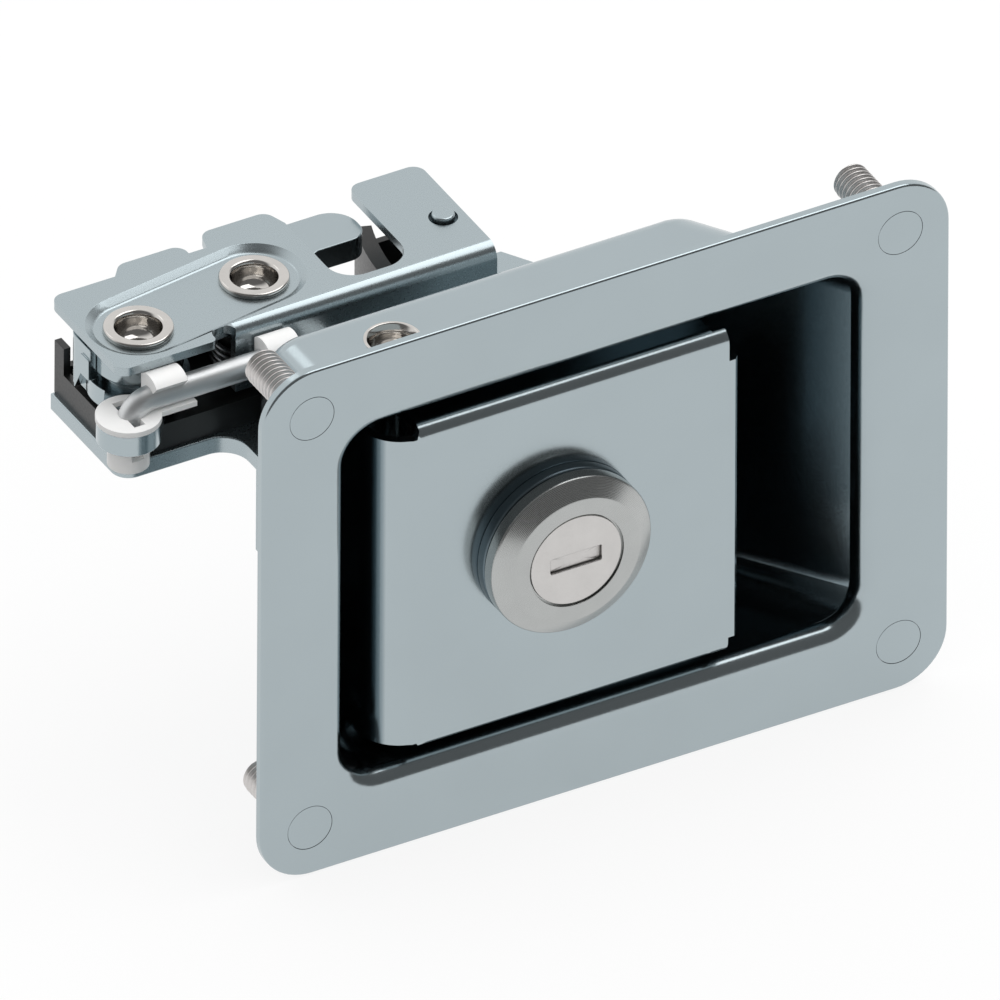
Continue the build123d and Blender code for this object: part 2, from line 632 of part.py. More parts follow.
# Top plate: tabs, striker mouth, sunk field round the rivets and a bent front flange
with BuildPart() as top_plate:
    with BuildSketch(Plane.XY.offset(PLATE_LOW)):
        with BuildLine():
            Polyline(
                (BLOCK_LEFT, TOP_FRONT),
                (TOP_FLANGE_LEFT, TOP_FRONT),
                (TOP_FLANGE_LEFT, TOP_FLANGE_FRONT + TOP_BEND),
                (TOP_RIGHT, TOP_FLANGE_FRONT + TOP_BEND),
                (TOP_RIGHT, TAB_BACK_2),
                (MOUTH_RIGHT, TAB_BACK_2),
                (MOUTH_RIGHT, TOP_BACK),
                (MOUTH_LEFT, TOP_BACK),
                (MOUTH_LEFT - TAB_2_RIGHT, TAB_BACK_2),
                (MOUTH_LEFT - TAB_2_LEFT, TAB_BACK_2),
                (MOUTH_LEFT - TAB_2_LEFT - TAB_LEAN, TOP_BACK),
                (MOUTH_LEFT - TAB_1_RIGHT, TOP_BACK),
                (MOUTH_LEFT - TAB_1_RIGHT, TAB_BACK_1),
                (MOUTH_LEFT - TAB_1_LEFT, TAB_BACK_1),
                (MOUTH_LEFT - TAB_1_LEFT - TAB_LEAN_WIDE, TOP_BACK),
                (BLOCK_LEFT, TOP_BACK),
                close=True,
            )
        make_face()
    extrude(amount=PLATE)
    add(raised(mouth(0, TAB_BACK_2 + PLATE), PLATE_LOW, PLATE), mode=Mode.SUBTRACT)
    outer_upright = top_plate.edges().filter_by(Axis.Z)
    back_corners = [e for e in outer_upright if e.center().Y > TAB_BACK_1 - 0.1]
    side_corners = [e for e in outer_upright if e.center().X < BLOCK_LEFT + 1]
    fillet(back_corners + side_corners, radius=TOP_CORNER)
    with BuildSketch(Plane.XY.offset(PLATE_LOW)):
        with Locations((TOP_FLANGE_LEFT - RELIEF_WIDTH / 2, TOP_FRONT + RELIEF_DEPTH - RELIEF_WIDTH / 2)):
            Circle(RELIEF_WIDTH / 2)
            Rectangle(RELIEF_WIDTH, RELIEF_DEPTH, align=(Align.CENTER, Align.MAX))
    extrude(amount=PLATE, mode=Mode.SUBTRACT)
    lip_x = TOP_FLANGE_LEFT - RELIEF_WIDTH
    lip_edges = top_plate.edges().filter_by(Axis.Z).filter_by(lambda e: abs(e.center().X - lip_x) < LOOSE)
    fillet(lip_edges.sort_by(Axis.Y)[0], radius=RELIEF_LIP)
    with BuildSketch(Plane.YZ.offset(TOP_FLANGE_LEFT)):
        with BuildLine() as flange_line:
            half_plate = PLATE / 2
            FilletPolyline(
                (TOP_FLANGE_FRONT + 1.1 * TOP_BEND, PLATE_TOP - half_plate),
                (TOP_FLANGE_FRONT + half_plate, PLATE_TOP - half_plate),
                (TOP_FLANGE_FRONT + half_plate, PLATE_TOP - TOP_FLANGE_DROP),
                radius=TOP_BEND - half_plate,
            )
        trace(flange_line.line, line_width=PLATE)
    extrude(amount=TOP_RIGHT - TOP_FLANGE_LEFT)
    with BuildSketch(Plane.XZ.offset(-TOP_FLANGE_FRONT - 2 * PLATE)):
        with Locations((ROD_RIGHT_X - CLIP_DISC_RADIUS - TOP_FLANGE_STEP, PLATE_TOP - TOP_FLANGE_SHALLOW)):
            Rectangle(FLANGE_WIDTH, TOP_FLANGE_DROP, align=(Align.MIN, Align.MAX))
    extrude(amount=3 * PLATE, mode=Mode.SUBTRACT)
    rivet_run = hypot(RIVET_RIGHT_X - RIVET_LEFT_X, RIVET_RIGHT_Y - RIVET_LEFT_Y)
    rivet_turn = degrees(atan2(RIVET_RIGHT_Y - RIVET_LEFT_Y, RIVET_RIGHT_X - RIVET_LEFT_X))
    rivet_middle = ((RIVET_LEFT_X + RIVET_RIGHT_X) / 2, (RIVET_LEFT_Y + RIVET_RIGHT_Y) / 2)
    with BuildSketch(Plane.XY.offset(PLATE_LOW - RECESS_DEPTH)):
        with Locations(rivet_middle):
            SlotCenterToCenter(rivet_run, 2 * RECESS_RADIUS, rotation=rivet_turn)
    extrude(amount=RECESS_DEPTH)
    with BuildSketch(Plane.XY.offset(PLATE_TOP)):
        with Locations(rivet_middle):
            SlotCenterToCenter(rivet_run, 2 * RECESS_RADIUS, rotation=rivet_turn)
    extrude(amount=-RECESS_DEPTH, taper=RECESS_SLOPE, mode=Mode.SUBTRACT)
    sunk_floor = top_plate.faces().filter_by(lambda f: abs(f.center().Z - RECESS_FLOOR) < RUNNING).sort_by()[0]
    fillet(sunk_floor.outer_wire().edges(), radius=RECESS_SOFT)
    with BuildSketch(Plane.XY.offset(PLATE_LOW - RECESS_DEPTH)):
        with block_locations():
            Circle(RIVET_RADIUS)
        with Locations((SPACER_X, SPACER_Y)):
            Circle(SPACER_RADIUS + SPACER_HOLE_GAP)
    extrude(amount=2 * PLATE + RECESS_DEPTH, mode=Mode.SUBTRACT)
top_plate.part.label = "top_plate"
export_step(top_plate.part, "parts/top_plate.step")


def swept_stem(pivot, pin, travel, gap):
    """The band that a clip's stem sweeps about a pivot, as a face to cut with."""
    radius = hypot(pin[0] - pivot[0], pin[1] - pivot[1])
    start = degrees(atan2(pin[1] - pivot[1], pin[0] - pivot[0]))
    with BuildSketch() as band:
        with BuildLine(mode=Mode.PRIVATE):
            middle_line = CenterArc(pivot, radius, start, travel)
        SlotArc(middle_line.edge(), 2 * (CLIP_STEM_RADIUS + gap))
    return band.sketch


# Moulded tray between the plates
tray_left = BLOCK_LEFT + TRAY_SET
tray_front = BLOCK_FRONT + TRAY_SET
tray_back = BASE_BACK
tray_right = TOP_RIGHT - TRAY_SET
tray_middle = ((tray_left + tray_right) / 2, (tray_front + tray_back) / 2)
tray_width = tray_right - tray_left
tray_depth = tray_back - tray_front
left_pivot = (RIVET_LEFT_X, RIVET_LEFT_Y)
left_sweep = swept_stem(left_pivot, (ROD_LEFT_X, ROD_Y), LEVER_RATIO * PADDLE_TRAVEL, 2 * LOOSE)
paddle_pivot = (HINGE_X, HINGE_DEPTH)
right_sweep = swept_stem(paddle_pivot, (ROD_RIGHT_X, ROD_Y), -PADDLE_TRAVEL, 2 * LOOSE + OPEN_PIVOT)
with BuildPart() as latch_housing:
    with BuildSketch(Plane.XY.offset(BASE_TOP)):
        with Locations(tray_middle):
            Rectangle(tray_width, tray_depth)
    extrude(amount=TRAY_LOW)
    with BuildSketch(Plane.XY.offset(BASE_TOP + TRAY_FLOOR)):
        with Locations(tray_middle):
            Rectangle(tray_width - 2 * TRAY_WALL, tray_depth - 2 * TRAY_WALL)
    extrude(amount=TRAY_LOW - TRAY_FLOOR, mode=Mode.SUBTRACT)
    with BuildSketch(Plane.XY.offset(BASE_TOP)):
        with Locations((TRAY_BACK_LEFT, tray_back)):
            Rectangle(tray_right - TRAY_BACK_LEFT, TRAY_WALL, align=(Align.MIN, Align.MAX))
        with Locations((tray_left, tray_back)):
            Rectangle(TRAY_WALL, TRAY_POST, align=(Align.MIN, Align.MAX))
    extrude(amount=TRAY_HIGH)
    with BuildSketch(Plane.XY.offset(BASE_TOP)):
        with Locations((RIVET_RIGHT_X, RIVET_RIGHT_Y)):
            Circle(RIVET_RADIUS + BOSS_WALL)
    extrude(amount=ROTOR_LOW - LOOSE - BASE_TOP)
    with BuildSketch(Plane.XY.offset(BASE_TOP)):
        with Locations((SPACER_X, SPACER_Y)):
            Circle(SPACER_SHOULDER + BOSS_WALL)
    extrude(amount=TRAY_LOW)
    add(raised(mouth(TRAY_WALL + LOOSE, tray_back), BASE_TOP, TRAY_HIGH))
    add(raised(mouth(LOOSE, tray_back + TRAY_WALL), BASE_TOP, TRAY_HIGH), mode=Mode.SUBTRACT)
    with BuildSketch(Plane.XY.offset(BASE_TOP)):
        with BuildLine() as guide_line:
            guide_front = MOUTH_BOTTOM + 0.7 * MOUTH_WIDTH / 2
            Spline(
                (MOUTH_RIGHT, guide_front),
                (MOUTH_RIGHT + GUIDE_FLARE / 5, (guide_front + GUIDE_BACK) / 2),
                (MOUTH_RIGHT + GUIDE_FLARE, GUIDE_BACK),
            )
        trace(guide_line.line, line_width=GUIDE_WALL)
    extrude(amount=TRAY_HIGH)
    add(raised(left_sweep, BASE_TOP, TRAY_HIGH), mode=Mode.SUBTRACT)
    add(raised(right_sweep, BASE_TOP, TRAY_HIGH), mode=Mode.SUBTRACT)
    with BuildSketch(Plane.XY.offset(BASE_TOP)):
        with block_locations():
            Circle(RIVET_RADIUS)
        with Locations((SPACER_X, SPACER_Y)):
            Circle(SPACER_SHOULDER)
    extrude(amount=BLOCK_GAP, mode=Mode.SUBTRACT)
latch_housing.part.label = "latch_housing"
export_step(latch_housing.part, "parts/latch_housing.step")

# Rivets: the pivots, with a cupped head on the sunk field and a flat head under the base plate
for place, x, y in (("left", RIVET_LEFT_X, RIVET_LEFT_Y), ("right", RIVET_RIGHT_X, RIVET_RIGHT_Y)):
    with BuildPart() as rivet:
        with BuildSketch(Plane.XY.offset(BASE_LOW - RIVET_HEAD)):
            with Locations((x, y)):
                Circle(RIVET_HEAD_RADIUS)
        extrude(amount=RIVET_HEAD)
        with BuildSketch(Plane.XY.offset(BASE_LOW)):
            with Locations((x, y)):
                Circle(RIVET_RADIUS)
        extrude(amount=RECESS_FLOOR - BASE_LOW)
        with BuildSketch(Plane.XY.offset(RECESS_FLOOR)):
            with Locations((x, y)):
                Circle(RIVET_HEAD_RADIUS)
        extrude(amount=RIVET_HEAD)
        fillet(rivet.faces().sort_by(Axis.Z)[0].edges(), radius=RIVET_HEAD / 3)
        with BuildSketch(Plane.XY.offset(RECESS_FLOOR + RIVET_HEAD)):
            with Locations((x, y)):
                Circle(RIVET_BORE)
        extrude(amount=-CUP_DEPTH, mode=Mode.SUBTRACT)
        rim = rivet.faces().sort_by(Axis.Z)[-1]
        fillet(rim.edges(), radius=RIVET_HEAD / 3)
        cup_level = RECESS_FLOOR + RIVET_HEAD - CUP_DEPTH
        cup_floor = rivet.faces().filter_by(lambda f: abs(f.center().Z - cup_level) < RUNNING)
        fillet(cup_floor.edges(), radius=CUP_ROUND)
    rivet.part.label = "rivet_" + place
    export_step(rivet.part, "parts/rivet_" + place + ".step")

# Spacer pin, its shoulder holds the plates apart
with BuildPart() as spacer_pin:
    with BuildSketch(Plane.XY.offset(BASE_LOW)):
        with Locations((SPACER_X, SPACER_Y)):
            Circle(SPACER_RADIUS)
    extrude(amount=PLATE_TOP + SPACER_PROUD - BASE_LOW)
    with BuildSketch(Plane.XY.offset(BASE_TOP)):
        with Locations((SPACER_X, SPACER_Y)):
            Circle(SPACER_SHOULDER)
    extrude(amount=BLOCK_GAP)
    chamfer(spacer_pin.edges().group_by(Axis.Z)[-1], length=SPACER_PROUD / 4)
spacer_pin.part.label = "spacer_pin"
export_step(spacer_pin.part, "parts/spacer_pin.step")

# Rotor: hub, hook over the striker, finger under it and the catch that the pawl holds
catch = radians(CATCH_ANGLE)
catch_x = RIVET_RIGHT_X + CATCH_RADIUS * cos(catch)
catch_y = RIVET_RIGHT_Y + CATCH_RADIUS * sin(catch)
fork_low = HOOK_FRONT - FORK_GAP
with BuildPart() as rotor:
    with BuildSketch(Plane.XY.offset(ROTOR_LOW)):
        with Locations((RIVET_RIGHT_X, RIVET_RIGHT_Y)):
            Circle(ROTOR_HUB)
        with BuildLine():
            Polyline(
                (RIVET_RIGHT_X, HOOK_BACK),
                (HOOK_TIP, HOOK_BACK),
                (HOOK_TIP, HOOK_FRONT),
                (SLOT_END + FORK_GAP / 2, HOOK_FRONT),
                (SLOT_END, HOOK_FRONT - FORK_GAP / 4),
                (SLOT_END, fork_low + FORK_GAP / 4),
                (SLOT_END + FORK_GAP / 2, fork_low),
                (FINGER_TIP, fork_low),
                (FINGER_TIP, fork_low - FINGER_WIDTH),
                (RIVET_RIGHT_X, fork_low - FINGER_WIDTH + FINGER_RISE),
                (RIVET_RIGHT_X - ROTOR_HUB, RIVET_RIGHT_Y),
                (catch_x, RIVET_RIGHT_Y + ROTOR_HUB),
                (catch_x, catch_y),
                close=True,
            )
        make_face()
        with Locations((RIVET_RIGHT_X, RIVET_RIGHT_Y)):
            Circle(RIVET_RADIUS + RUNNING, mode=Mode.SUBTRACT)
    extrude(amount=ROTOR_THICK)
    hook_end = rotor.edges().filter_by(Axis.Z).filter_by(lambda e: e.center().X > HOOK_TIP - LOOSE)
    fillet(hook_end.sort_by(Axis.Y)[0], radius=HOOK_ROUND)
    hook_end = rotor.edges().filter_by(Axis.Z).filter_by(lambda e: e.center().X > HOOK_TIP - LOOSE)
    fillet(hook_end.sort_by(Axis.Y)[-1], radius=HOOK_BACK_ROUND)
rotor.part.label = "rotor"
export_step(rotor.part, "parts/rotor.step")

# Pawl: a strut from the left rivet to the rotor's catch
with BuildPart() as pawl:
    with BuildSketch(Plane.XY.offset(ROTOR_LOW)):
        with Locations((RIVET_LEFT_X, RIVET_LEFT_Y)):
            Circle(PAWL_HUB)
        with BuildLine():
            Polyline(
                (RIVET_LEFT_X - PAWL_HUB * 0.6, RIVET_LEFT_Y + PAWL_HUB * 0.8),
                (catch_x - PAWL_NOSE, catch_y + 2 * LOOSE),
                (catch_x - LOOSE, catch_y + LOOSE),
                (catch_x - LOOSE, RIVET_RIGHT_Y + ROTOR_HUB + 2 * LOOSE),
                (RIVET_LEFT_X + PAWL_HUB, RIVET_LEFT_Y),
                (RIVET_LEFT_X, RIVET_LEFT_Y - PAWL_HUB * 0.5),
                close=True,
            )
        make_face()
        with Locations((RIVET_LEFT_X, RIVET_LEFT_Y)):
            Circle(RIVET_RADIUS + RUNNING, mode=Mode.SUBTRACT)
    extrude(amount=ROTOR_THICK)
pawl.part.label = "pawl"
export_step(pawl.part, "parts/pawl.step")

# Trigger lever: drum under the pawl, eye for the rod clip and a stepped wall up the left side
with BuildPart() as trigger_lever:
    with BuildSketch(Plane.XY.offset(LEVER_BOTTOM)):
        with Locations((RIVET_LEFT_X, RIVET_LEFT_Y)):
            Circle(LEVER_HUB)
        with Locations((ROD_LEFT_X, ROD_Y)):
            Circle(EYE_RADIUS)
        with BuildLine():
            Polyline(
                (RIVET_LEFT_X - LEVER_HUB, RIVET_LEFT_Y),
                (RIVET_LEFT_X + LEVER_HUB * 0.85, RIVET_LEFT_Y - LEVER_HUB * 0.5),
                (ROD_LEFT_X + EYE_RADIUS * 0.9, ROD_Y - EYE_RADIUS * 0.4),
                (ROD_LEFT_X - EYE_RADIUS, ROD_Y),
                close=True,
            )
        make_face()
        with Locations((ROD_LEFT_X, ROD_Y)):
            Circle(CLIP_STEM_RADIUS + RUNNING, mode=Mode.SUBTRACT)
    extrude(amount=LEVER_THICK)
    with BuildSketch(Plane.XY.offset(LEVER_TOP)):
        with Locations((RIVET_LEFT_X, RIVET_LEFT_Y)):
            Circle(LEVER_HUB)
    extrude(amount=ROTOR_LOW - LEVER_TOP)
    with BuildSketch(Plane.XY.offset(LEVER_BOTTOM)):
        with BuildLine() as wall_line:
            FilletPolyline(
                (SIDE_WALL_X, SIDE_WALL_FRONT),
                (SIDE_WALL_X, SIDE_WALL_BACK),
                (SIDE_WALL_X + SIDE_WALL_RETURN, SIDE_WALL_BACK),
                radius=SIDE_WALL_BEND,
            )
        trace(wall_line.line, line_width=PLATE)
    extrude(amount=ROTOR_TOP - LEVER_BOTTOM)
    step_up = LEVER_TOP - LEVER_BOTTOM
    with BuildSketch(Plane.YZ.offset(SIDE_WALL_X - PLATE / 2 - SIDE_WALL_PROUD)):
        with BuildLine():
            Polyline(
                (SIDE_WALL_FRONT, LEVER_TOP),
                (SIDE_WALL_STEP - step_up / 2, LEVER_TOP),
                (SIDE_WALL_STEP, LEVER_BOTTOM),
                (SIDE_WALL_BACK - SIDE_WALL_BEND, LEVER_BOTTOM),
                (SIDE_WALL_BACK - SIDE_WALL_BEND, LEVER_BOTTOM + SIDE_WALL_BAND),
                (SIDE_WALL_STEP, LEVER_BOTTOM + SIDE_WALL_BAND),
                (SIDE_WALL_STEP - step_up / 2, LEVER_TOP + SIDE_WALL_BAND),
                (SIDE_WALL_FRONT, LEVER_TOP + SIDE_WALL_BAND),
                close=True,
            )
        make_face()
    extrude(amount=SIDE_WALL_PROUD)
    with BuildSketch(Plane.YZ.offset(SIDE_WALL_X - PLATE / 2)):
        with BuildLine():
            Polyline(
                (SIDE_WALL_FRONT, LEVER_BOTTOM),
                (SIDE_WALL_STEP, LEVER_BOTTOM),
                (SIDE_WALL_STEP - step_up / 2, LEVER_TOP),
                (SIDE_WALL_FRONT, LEVER_TOP),
                close=True,
            )
        make_face()
    extrude(amount=PLATE / 2, mode=Mode.SUBTRACT)
    with BuildSketch(Plane.XY.offset(LEVER_DRUM_LOW)):
        with Locations((RIVET_LEFT_X, RIVET_LEFT_Y)):
            Circle(LEVER_DRUM)
    extrude(amount=LEVER_TOP - LEVER_DRUM_LOW)
    with BuildSketch(Plane.XY.offset(ROTOR_LOW)):
        with Locations((RIVET_LEFT_X, RIVET_LEFT_Y)):
            Circle(PAWL_HUB + LOOSE / 3)
    extrude(amount=ROTOR_THICK, mode=Mode.SUBTRACT)
    with BuildSketch(Plane.XY.offset(LEVER_BOTTOM)):
        with Locations((RIVET_LEFT_X, RIVET_LEFT_Y)):
            Circle(RIVET_RADIUS + RUNNING)
    extrude(amount=BLOCK_GAP, mode=Mode.SUBTRACT)
trigger_lever.part.label = "trigger_lever"
export_step(trigger_lever.part, "parts/trigger_lever.step")

# Springs of the pawl and the rotor, wound round the tray's bosses
boss_coil = RIVET_RADIUS + BOSS_WALL + LOOSE + BLOCK_WIRE
rivet_coil = RIVET_RADIUS + LOOSE / 2 + BLOCK_WIRE
spring_low = BASE_TOP + TRAY_FLOOR
pawl_spring = spring_coil(rivet_coil, BLOCK_WIRE, PAWL_TURNS, spring_low, RIVET_LEFT_X, RIVET_LEFT_Y)
pawl_spring.label = "pawl_spring"
export_step(pawl_spring, "parts/pawl_spring.step")
rotor_spring = spring_coil(boss_coil, BLOCK_WIRE, ROTOR_TURNS, spring_low, RIVET_RIGHT_X, RIVET_RIGHT_Y)
rotor_spring.label = "rotor_spring"
export_step(rotor_spring, "parts/rotor_spring.step")

# The pull rod: a wire with both ends bent down into the clips
clip_bottom = LEVER_TOP - CLIP_STEM_LENGTH
clip_seat = LEVER_TOP + RUNNING
with BuildPart() as pull_rod:
    with BuildLine(Plane.XZ.offset(-ROD_Y)) as rod_line:
        rod_low = clip_bottom + ROD_RADIUS
        rod_turn = ROD_HEIGHT - ROD_BEND
        rod_down = Line((ROD_LEFT_X, rod_low), (ROD_LEFT_X, rod_turn))
        RadiusArc(rod_down @ 1, (ROD_LEFT_X + ROD_BEND, ROD_HEIGHT), ROD_BEND)
        Line((ROD_LEFT_X + ROD_BEND, ROD_HEIGHT), (ROD_RIGHT_X - ROD_BEND, ROD_HEIGHT))
        RadiusArc((ROD_RIGHT_X - ROD_BEND, ROD_HEIGHT), (ROD_RIGHT_X, rod_turn), ROD_BEND)
        Line((ROD_RIGHT_X, rod_turn), (ROD_RIGHT_X, rod_low))
    with BuildSketch(Plane(origin=(ROD_LEFT_X, ROD_Y, rod_low), z_dir=(0, 0, 1))):
        Circle(ROD_RADIUS)
    sweep(path=rod_line.line)
pull_rod.part.label = "pull_rod"
export_step(pull_rod.part, "parts/pull_rod.step")

# Rod clips: a disc and stem in the eye, a foot along the rod and a clamp that snaps over it
for place, x, way in (("left", ROD_LEFT_X, 1), ("right", ROD_RIGHT_X, -1)):
    reach = Align.MIN if way > 0 else Align.MAX
    clamp_radius = ROD_RADIUS + CLIP_CLAMP_WALL
    with BuildPart() as rod_clip:
        with BuildSketch(Plane.XY.offset(clip_bottom)):
            with Locations((x, ROD_Y)):
                Circle(CLIP_STEM_RADIUS)
        extrude(amount=clip_seat - clip_bottom)
        with BuildSketch(Plane.XY.offset(clip_seat)):
            with Locations((x, ROD_Y)):
                Circle(CLIP_DISC_RADIUS)
        extrude(amount=CLIP_DISC_THICK)
        with BuildSketch(Plane.XY.offset(clip_seat)):
            with Locations((x, ROD_Y)):
                Rectangle(CLIP_FOOT_FAR, 2 * ROD_RADIUS, align=(reach, Align.CENTER))
        extrude(amount=CLIP_DISC_THICK)
        with BuildSketch(Plane.YZ.offset(x + way * CLIP_CLAMP_NEAR)):
            with Locations((ROD_Y, ROD_HEIGHT + CLIP_CLAMP_RISE)):
                Circle(clamp_radius)
                with Locations((CLIP_CLAMP_BACK, 0)):
                    back = (Align.MIN, Align.CENTER)
                    Rectangle(clamp_radius, 4 * clamp_radius, align=back, mode=Mode.SUBTRACT)
                with Locations((0, -CLIP_CLAMP_RISE)):
                    front_low = (Align.MAX, Align.MAX)
                    Rectangle(2 * clamp_radius, 2 * clamp_radius, align=front_low, mode=Mode.SUBTRACT)
            with Locations((ROD_Y, clip_seat)):
                foot_up = (Align.MIN, Align.MIN)
                Rectangle(CLIP_CLAMP_BACK, ROD_HEIGHT - clip_seat, align=foot_up)
        extrude(amount=way * (CLIP_CLAMP_FAR - CLIP_CLAMP_NEAR))
        with BuildSketch(Plane.XY.offset(clip_seat)):
            with Locations((x + way * (CLIP_STEM_RADIUS + RUNNING), ROD_Y)):
                Rectangle(2 * CLIP_CLAMP_FAR, 4 * CLIP_DISC_RADIUS, align=(reach, Align.CENTER))
        extrude(amount=-CLIP_STEM_LENGTH, mode=Mode.SUBTRACT)
        with BuildSketch(Plane.XY.offset(clip_seat + CLIP_DISC_THICK)):
            with Locations((x, ROD_Y)):
                Rectangle(CLIP_SLOT_WIDTH, 2 * CLIP_SLOT_REACH)
        extrude(amount=-CLIP_DISC_THICK - CLIP_SLOT_DEPTH, mode=Mode.SUBTRACT)
        with BuildSketch(Plane.XZ.offset(CLIP_STEM_RADIUS - ROD_Y)):
            with Locations((x, clip_bottom + CLIP_STEM_RADIUS)):
                Rectangle(CLIP_WINDOW, CLIP_WINDOW)
        extrude(amount=-(CLIP_STEM_RADIUS - ROD_RADIUS), mode=Mode.SUBTRACT)
        add(pull_rod.part, mode=Mode.SUBTRACT)
    rod_clip.part.label = "rod_clip_" + place
    export_step(rod_clip.part, "parts/rod_clip_" + place + ".step")
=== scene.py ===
"""A flush paddle slam latch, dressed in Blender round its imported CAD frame.

Each operator makes one piece or one group of like pieces, and main() calls them in order. Turned,
threaded and bent pieces are new surfaces worked out with numpy. Folded, pressed and moulded pieces keep
the CAD shape: a merged copy of it gets its broken edges, and a few bends and lips are drawn as round as
the real ones.
"""

from collections import namedtuple
from math import copysign, pi, radians

import bmesh
import bpy
import numpy as np
from mathutils import Matrix, Vector


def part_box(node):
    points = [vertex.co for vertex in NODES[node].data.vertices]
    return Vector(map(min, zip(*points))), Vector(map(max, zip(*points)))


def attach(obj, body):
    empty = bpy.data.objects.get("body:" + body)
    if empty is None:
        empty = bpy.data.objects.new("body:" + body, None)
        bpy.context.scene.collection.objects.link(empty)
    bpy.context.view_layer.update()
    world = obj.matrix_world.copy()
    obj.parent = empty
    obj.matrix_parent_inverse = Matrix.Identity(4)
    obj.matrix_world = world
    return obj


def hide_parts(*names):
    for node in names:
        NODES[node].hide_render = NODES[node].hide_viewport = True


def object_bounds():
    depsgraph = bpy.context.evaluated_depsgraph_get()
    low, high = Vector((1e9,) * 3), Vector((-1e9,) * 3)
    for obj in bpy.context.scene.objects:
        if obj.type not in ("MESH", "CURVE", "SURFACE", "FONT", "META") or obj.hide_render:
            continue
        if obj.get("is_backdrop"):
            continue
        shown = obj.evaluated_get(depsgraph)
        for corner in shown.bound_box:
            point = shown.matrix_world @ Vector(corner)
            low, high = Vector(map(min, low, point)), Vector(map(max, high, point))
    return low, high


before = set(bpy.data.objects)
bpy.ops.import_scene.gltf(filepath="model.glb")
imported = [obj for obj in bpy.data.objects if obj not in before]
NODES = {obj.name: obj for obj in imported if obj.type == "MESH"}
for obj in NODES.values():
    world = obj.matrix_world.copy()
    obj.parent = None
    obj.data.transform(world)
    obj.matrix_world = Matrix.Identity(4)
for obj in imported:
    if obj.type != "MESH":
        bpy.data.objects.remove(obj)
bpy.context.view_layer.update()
MM = 0.001
TOUCH = 1e-6  # points closer than this are one, or lie on one plane
FLAT = radians(0.3)  # faces that turn less than this become one
SMOOTH = radians(28)  # edges that turn less than this are shaded smooth
BROKEN = radians(32)  # edges that turn more than this are broken

bl_info = {
    "name": "Slam latch",
    "version": (1, 0, 0),
    "blender": (4, 5, 0),
    "location": "3D View > Sidebar > Slam latch",
    "description": "Makes the visible pieces of a flush paddle slam latch round its CAD frame",
    "category": "Object",
}


def linear(hex_colour):
    """An sRGB hex colour as linear RGBA."""
    values = np.array([int(hex_colour[i : i + 2], 16) for i in (1, 3, 5)]) / 255
    curve = np.where(values <= 0.04045, values / 12.92, ((values + 0.055) / 1.055) ** 2.4)
    return (*curve.tolist(), 1.0)


def length_property(name, description, millimetres):
    """A length, kept in metres and shown in the scene's units."""
    return bpy.props.FloatProperty(
        name=name, description=description, default=millimetres * MM, min=0, precision=5, unit="LENGTH"
    )


def colour_property(name, description, hex_colour):
    """A colour that opens as a swatch."""
    return bpy.props.FloatVectorProperty(
        name=name, description=description, default=linear(hex_colour), size=4, subtype="COLOR", min=0, max=1
    )


class LatchSizes(bpy.types.PropertyGroup):
    """Sizes of the fine detail that the CAD frame leaves out."""

    sheet_edge: length_property("Sheet edge", "Rounded edge of the pressed and folded sheet", 0.45)
    fold_bend: length_property("Fold bend", "Outer radius of the paddle's top and bottom folds", 2.4)
    fine_edge: length_property("Fine edge", "Broken edge of holes and small pieces", 0.12)
    plate_edge: length_property("Plate edge", "Rounded edge of the thick base plate", 0.3)
    recess_edge: length_property("Recess edge", "Radius where the sunk field meets its slope", 0.8)
    moulded_edge: length_property("Moulded edge", "Edge radius of the moulded pieces", 0.3)
    turned_edge: length_property("Turned edge", "Edge radius of the turned pieces", 0.25)
    thread_pitch: length_property("Thread pitch", "Pitch of the M6 studs", 1.0)
    thread_depth: length_property("Thread depth", "Depth of the rolled thread", 0.5)
    thread_start: length_property("Thread start", "Plain shank between flange and thread", 0.6)
    stud_point: length_property("Stud point", "Length of the stud's chamfered end", 0.7)
    sheet: length_property("Sheet thickness", "Thickness of the pan's sheet", 1.5)
    stud_radius: length_property("Stud radius", "Outer radius of the M6 thread", 3.0)
    head_gap: length_property("Head gap", "Hairline between a stud's head and the sheet", 0.05)
    cup_depth: length_property("Cup depth", "Depth of the cups in rivets and pins", 4.0)
    cup_wall: length_property("Cup wall", "Wall round the cups at the mouth", 0.55)
    cup_round: length_property("Cup round", "Curve between a cup's wall and its bottom", 2.2)
    rivet_shank: length_property("Rivet shank", "Radius of the rivets between the plates", 4.5)
    rivet_bore: length_property("Rivet bore", "Radius of the rivets' cups", 3.5)
    rivet_head: length_property("Rivet head", "Thickness of the rivets' heads", 0.9)
    pin_radius: length_property("Pin radius", "Radius of the hinge pins below their flare", 4.0)
    bezel_width: length_property("Bezel width", "Width of the bezel's sloped ring", 3.0)
    bezel_slope: length_property("Bezel slope", "Height of the bezel's sloped ring", 1.8)
    bezel_rim: length_property("Bezel rim", "Height of the bezel's upright rim", 2.2)
    bezel_groove: length_property("Bezel groove", "Width of the groove behind the bezel", 0.3)
    plug_radius: length_property("Plug radius", "Radius of the key plug", 7.9)
    barrel_radius: length_property("Barrel radius", "Radius of the lock's barrel", 9.5)
    rod_bend: length_property("Rod bend", "Radius of the rod's two bends", 4.0)
    shutter_set: length_property("Shutter depth", "Depth of the key slot's shutter", 0.5)
    shutter_back: length_property("Shutter back", "Depth of the back of the key slot's shutter", 1.35)
    shutter_length: length_property("Shutter length", "Length of the key slot's shutter", 8.8)
    shutter_height: length_property("Shutter height", "Height of the key slot's shutter", 2.5)


